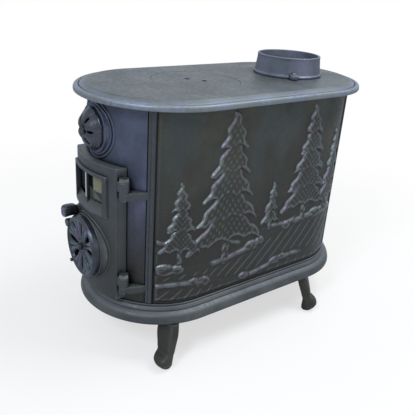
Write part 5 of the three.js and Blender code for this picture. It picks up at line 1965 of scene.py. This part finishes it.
def air_wheels() -> list[AirWheel]:
    """The lower wheel on the door and the upper one on the shell."""
    lower = AirWheel(
        "lower_air_wheel",
        "lower_wheel",
        234.5,
        181.8,
        WheelSlots(8, 20, 54, 0.13),
        (
            (4.4, 10), (8, 10), (11, 9), (14, 8), (20, 7.4),
            (54, 10), (58, 13.4), (60, 14), (63, 13.2), (66, 9),
        ),
        ((152, 66, 9, 16), (230, 68, 4, 16)),
        crown=5.0,
        ridges=2,
    )
    upper = AirWheel(
        "upper_air_wheel",
        "upper_wheel",
        482.7,
        160.3,
        WheelSlots(6, 15, 31, 0.12),
        (
            (4.4, 16), (8, 16.4), (11, 20), (15, 22), (20, 21.4),
            (27, 18), (35, 12), (40, 7), (42, 5.5), (43, 4),
        ),
        crown=2.4,
        flute=0.08,
        worn_and_lit=0.35,
    )
    return [lower, upper]


@dataclass
class Latch:
    """The latch: a grip that arches out of the hub, a spindle, and the cam behind the door.

    The hub's foot, the grip's reach and the cam's faces are counted from the end's centre.
    """

    x: float = -58.0
    z: float = 290.0
    foot: float = 173.3
    reach: float = 204.6
    half_width: float = 10.5
    half_height: float = 12.0
    rise: float = 2.5
    arch: float = 2.0
    cam_out: tuple[float, float] = (107.0, 113.0)

    def grip(self) -> Surface:
        """Squared ovals along a low arch: the centre lifts as rise + arch * 4 t (1 - t)."""
        t = np.concatenate([[0], np.linspace(0, 1, 40), [1]])
        share = np.clip(np.sqrt(np.clip(1 - (2 * t - 1) ** 16, 0, 1)), 0.86, 1)
        share[[0, -1]] = 0
        angle = np.linspace(0, 2 * np.pi, 48, endpoint=False)
        square = (np.cos(angle) ** 4 + np.sin(angle) ** 4) ** -0.25
        ring = np.stack([square * np.cos(angle), square * np.sin(angle)], -1)
        belly = 1 - 0.08 * (1 - t) ** 2
        a = share[:, None] * ring[None, :, 0] * self.half_width
        b = share[:, None] * ring[None, :, 1] * self.half_height * belly[:, None]
        b = b + (self.rise + self.arch * 4 * t * (1 - t))[:, None]
        h = (self.foot + 1 + (self.reach - self.foot - 1) * t)[:, None]
        grid = PLAN.out_axis(self.x, self.z).place(a, b, h)
        return sheet(grid, wrap_columns=True)

    def make(self, shop: Workshop) -> None:
        """Builds the handle and the cam."""
        axis = PLAN.out_axis(self.x, self.z)
        foot = self.foot
        hub = rounded([(0, foot, 0), (11, foot, 0.8), (11, foot + 9, 2), (0, foot + 9, 0)])
        rod = rounded([(0, 103, 0), (4.5, 103, 0.6), (4.5, foot + 2, 0), (0, foot + 2, 0)])
        handle = join(self.grip(), turned(hub, axis, 48), turned(rod, axis, 32))
        finish = shop.finishes.fitting
        shop.make("latch_grip", handle, "latch", finish, "fitting_iron", ("latch_handle",))
        t = np.linspace(math.pi, 2 * math.pi, 20)
        eye = np.stack([7.5 * np.cos(t), 7.5 * np.sin(t)], -1)
        tip = [[5.5, 8], [5.5, 30], [3.5, 33], [-3.5, 33], [-5.5, 30], [-5.5, 8]]
        cam = prism(np.concatenate([eye, tip]), *self.cam_out, axis)
        shop.make("latch_cam_bar", cam, "latch", shop.finishes.steel, "steel", ("latch_cam",), 0.8)


# ---------- Fasteners and firebox ----------


CORNERS = ("front_right", "front_left", "rear_right", "rear_left")


@dataclass
class Fittings:
    """Small parts and firebox furniture that keep the frame's own shapes, with softer edges."""

    bolts: tuple[str, ...] = (
        *(kind + place for kind in ("leg_bolt_", "tie_bolt_") for place in CORNERS),
        "collar_screw_1", "collar_screw_2", "hinge_pin_upper", "hinge_pin_lower", "upper_air_nut",
    )
    door_parts: tuple[str, ...] = (
        "lower_air_nut", "glass_clip_bottom", "glass_clip_top",
        "clip_screw_bottom_right", "clip_screw_bottom_left",
        "clip_screw_top_right", "clip_screw_top_left",
    )
    bricks: tuple[str, ...] = ("side_brick_right", "side_brick_left", "rear_brick")
    grates: tuple[str, ...] = ("grate", "log_guard", "baffle_plate")

    def make(self, shop: Workshop) -> None:
        """Softens and paints each part."""
        finishes = shop.finishes
        for node in self.bolts:
            shop.soften(node, "root", finishes.steel, 0.5)
        for node in self.door_parts:
            shop.soften(node, "door", finishes.steel, 0.35)
        shop.soften("upper_air_bolt", "root", finishes.dark_steel, 0.5)
        shop.soften("lower_air_bolt", "door", finishes.dark_steel, 0.5)
        for node in self.bricks:
            shop.soften(node, "root", finishes.brick, 1.6)
        for node in self.grates:
            shop.soften(node, "root", finishes.grate, 1.0)
        shop.soften("ash_pan", "root", finishes.pan, 0.5)
        shop.soften("door_rope_seal", "door", finishes.rope, 1.0)
        for side, pane in (("right", finishes.pane_right), ("left", finishes.pane_left)):
            shop.soften("window_pane_" + side, "door", pane, 0.4)


# ---------- Studio ----------


@dataclass
class Studio:
    """The camera, the pale floor and the soft lights, in metres.

    Attributes:
        eye: where the camera stands.
        azimuth: the way to it, in degrees from -Y to +X.
        elevation: how far down it looks, in degrees.
        roll: how far it is turned about its own axis, in degrees.
        lens: its focal length, in millimetres, on a 36 mm sensor.
        sky: how strongly the surround lights the stove.
    """

    eye: tuple[float, float, float] = (0.9398, -0.7663, 0.7819)
    azimuth: float = 51.509
    elevation: float = 23.763
    roll: float = 4.179
    lens: float = 47.37
    sky: float = 0.5

    def camera(self) -> None:
        """Places the camera by its azimuth, elevation and roll."""
        az, el, roll = (math.radians(v) for v in (self.azimuth, self.elevation, self.roll))
        back = Vector((math.sin(az) * math.cos(el), -math.cos(az) * math.cos(el), math.sin(el)))
        right = (-back).cross(Vector((0, 0, 1))).normalized()
        up = right.cross(-back)
        across = right * math.cos(roll) + up * math.sin(roll)
        above = -right * math.sin(roll) + up * math.cos(roll)
        data = bpy.data.cameras.new("camera")
        data.sensor_width = 36.0
        data.sensor_fit = "HORIZONTAL"
        data.lens = self.lens
        camera = placed("camera", data)
        turn = Matrix((across, above, back)).transposed().to_4x4()
        camera.matrix_world = Matrix.Translation(self.eye) @ turn
        bpy.context.scene.camera = camera

    def lamp(
        self, name: str, spot: Place, aim: Place, size: float, power: float, tone: Colour
    ) -> None:
        """Adds a soft square lamp.

        Args:
            name: the lamp's name.
            spot: where it hangs.
            aim: where it points.
            size: its width in metres.
            power: its power in watts.
            tone: its colour.
        """
        data = bpy.data.lights.new(name, "AREA")
        data.size = size
        data.energy = power
        data.color = tone
        lamp = placed(name, data)
        lamp.location = spot
        lamp.rotation_euler = (Vector(aim) - Vector(spot)).to_track_quat("-Z", "Y").to_euler()

    def world(self) -> None:
        """A white surround for what sees it, and a grey one for what it lights."""
        world = bpy.data.worlds.new("surround")
        world.use_nodes = True
        tree = world.node_tree
        tree.nodes.clear()
        path = tree.nodes.new("ShaderNodeLightPath")
        seen = path.outputs["Is Camera Ray"]
        for kind in ("Is Glossy Ray", "Is Transmission Ray"):
            both = tree.nodes.new("ShaderNodeMath")
            both.operation = "MAXIMUM"
            tree.links.new(seen, both.inputs[0])
            tree.links.new(path.outputs[kind], both.inputs[1])
            seen = both.outputs[0]
        level = tree.nodes.new("ShaderNodeMapRange")
        tree.links.new(seen, level.inputs[0])
        level.inputs[3].default_value = self.sky
        level.inputs[4].default_value = 1.0
        shade = tree.nodes.new("ShaderNodeBackground")
        tree.links.new(level.outputs[0], shade.inputs["Strength"])
        shade.inputs["Color"].default_value = (1, 1, 1, 1)
        output = tree.nodes.new("ShaderNodeOutputWorld")
        tree.links.new(shade.outputs[0], output.inputs[0])
        bpy.context.scene.world = world

    def floor(self) -> None:
        """A round pale floor that turns pure white away from the stove."""
        angle = np.linspace(0, 2 * np.pi, 96, endpoint=False)[:, None]
        radius = np.concatenate([[0.0], np.geomspace(300, 30000, 24)])[None, :]
        x, y = radius * np.cos(angle), radius * np.sin(angle)
        spread = np.stack([x, y, np.full_like(x, -0.2)], -1)
        ground = Workshop.build("floor", sheet(spread, wrap_rows=True))
        if ground.data.polygons[0].normal.z < 0:
            ground.data.flip_normals()
        tree = Tree("floor_paint")
        length = tree.add("VectorMath", {0: tree.coords}, operation="LENGTH").outputs["Value"]
        glow = tree.range(length, 0.45, 1.6, 0.62, 1.0)
        path = tree.add("LightPath")
        share = tree.math("MULTIPLY", glow, path.outputs["Is Camera Ray"])
        tone = tree.mix(tree.noise(7.0), (0.86, 0.86, 0.86), (0.9, 0.9, 0.9))
        paint = tree.add("BsdfDiffuse", {"Color": tone}).outputs[0]
        white = tree.add("Emission", {"Color": (1, 1, 1, 1), "Strength": 1.0}).outputs[0]
        both = tree.add("MixShader", {0: share, 1: paint, 2: white})
        tree.material.node_tree.links.new(both.outputs[0], tree.output.inputs["Surface"])
        ground.data.materials.append(tree.material)

    def make(self) -> None:
        """Sets the whole studio up."""
        self.camera()
        self.world()
        self.floor()
        self.lamp("key", (0.9, -2.0, 2.2), (0, -0.1, 0.3), 0.7, 34.0, (0.84, 0.9, 1.0))
        self.lamp("top", (0.5, 0.9, 2.5), (0, 0, 0.4), 1.2, 34.0, (0.95, 0.98, 1.0))
        self.lamp("fill", (2.4, 0.9, 0.9), (0, 0, 0.3), 1.6, 5.0, (1.0, 0.98, 0.93))
        bpy.context.scene.view_settings.view_transform = "Standard"


def corners(box: tuple[Vector, Vector]) -> list[list[float]]:
    """A box's two corners as plain lists."""
    return [[float(value) for value in corner] for corner in box]


def main() -> None:
    """Builds the stove from the floor up, then the studio."""
    logging.basicConfig(level=logging.INFO, format="%(name)s %(message)s")
    shop = Workshop(Finishes())
    sections: list[Section] = [
        BasePlate(), *legs(), EndWall(rear=True), FrontWall(), SidePanel(1), SidePanel(-1),
        TopPlate(), HotplateLid(), FlueCollar(), Door(), *air_wheels(), Latch(), Fittings(),
    ]
    for section in sections:
        section.make(shop)
    Studio().make()


if __name__ == "__main__":
    main()
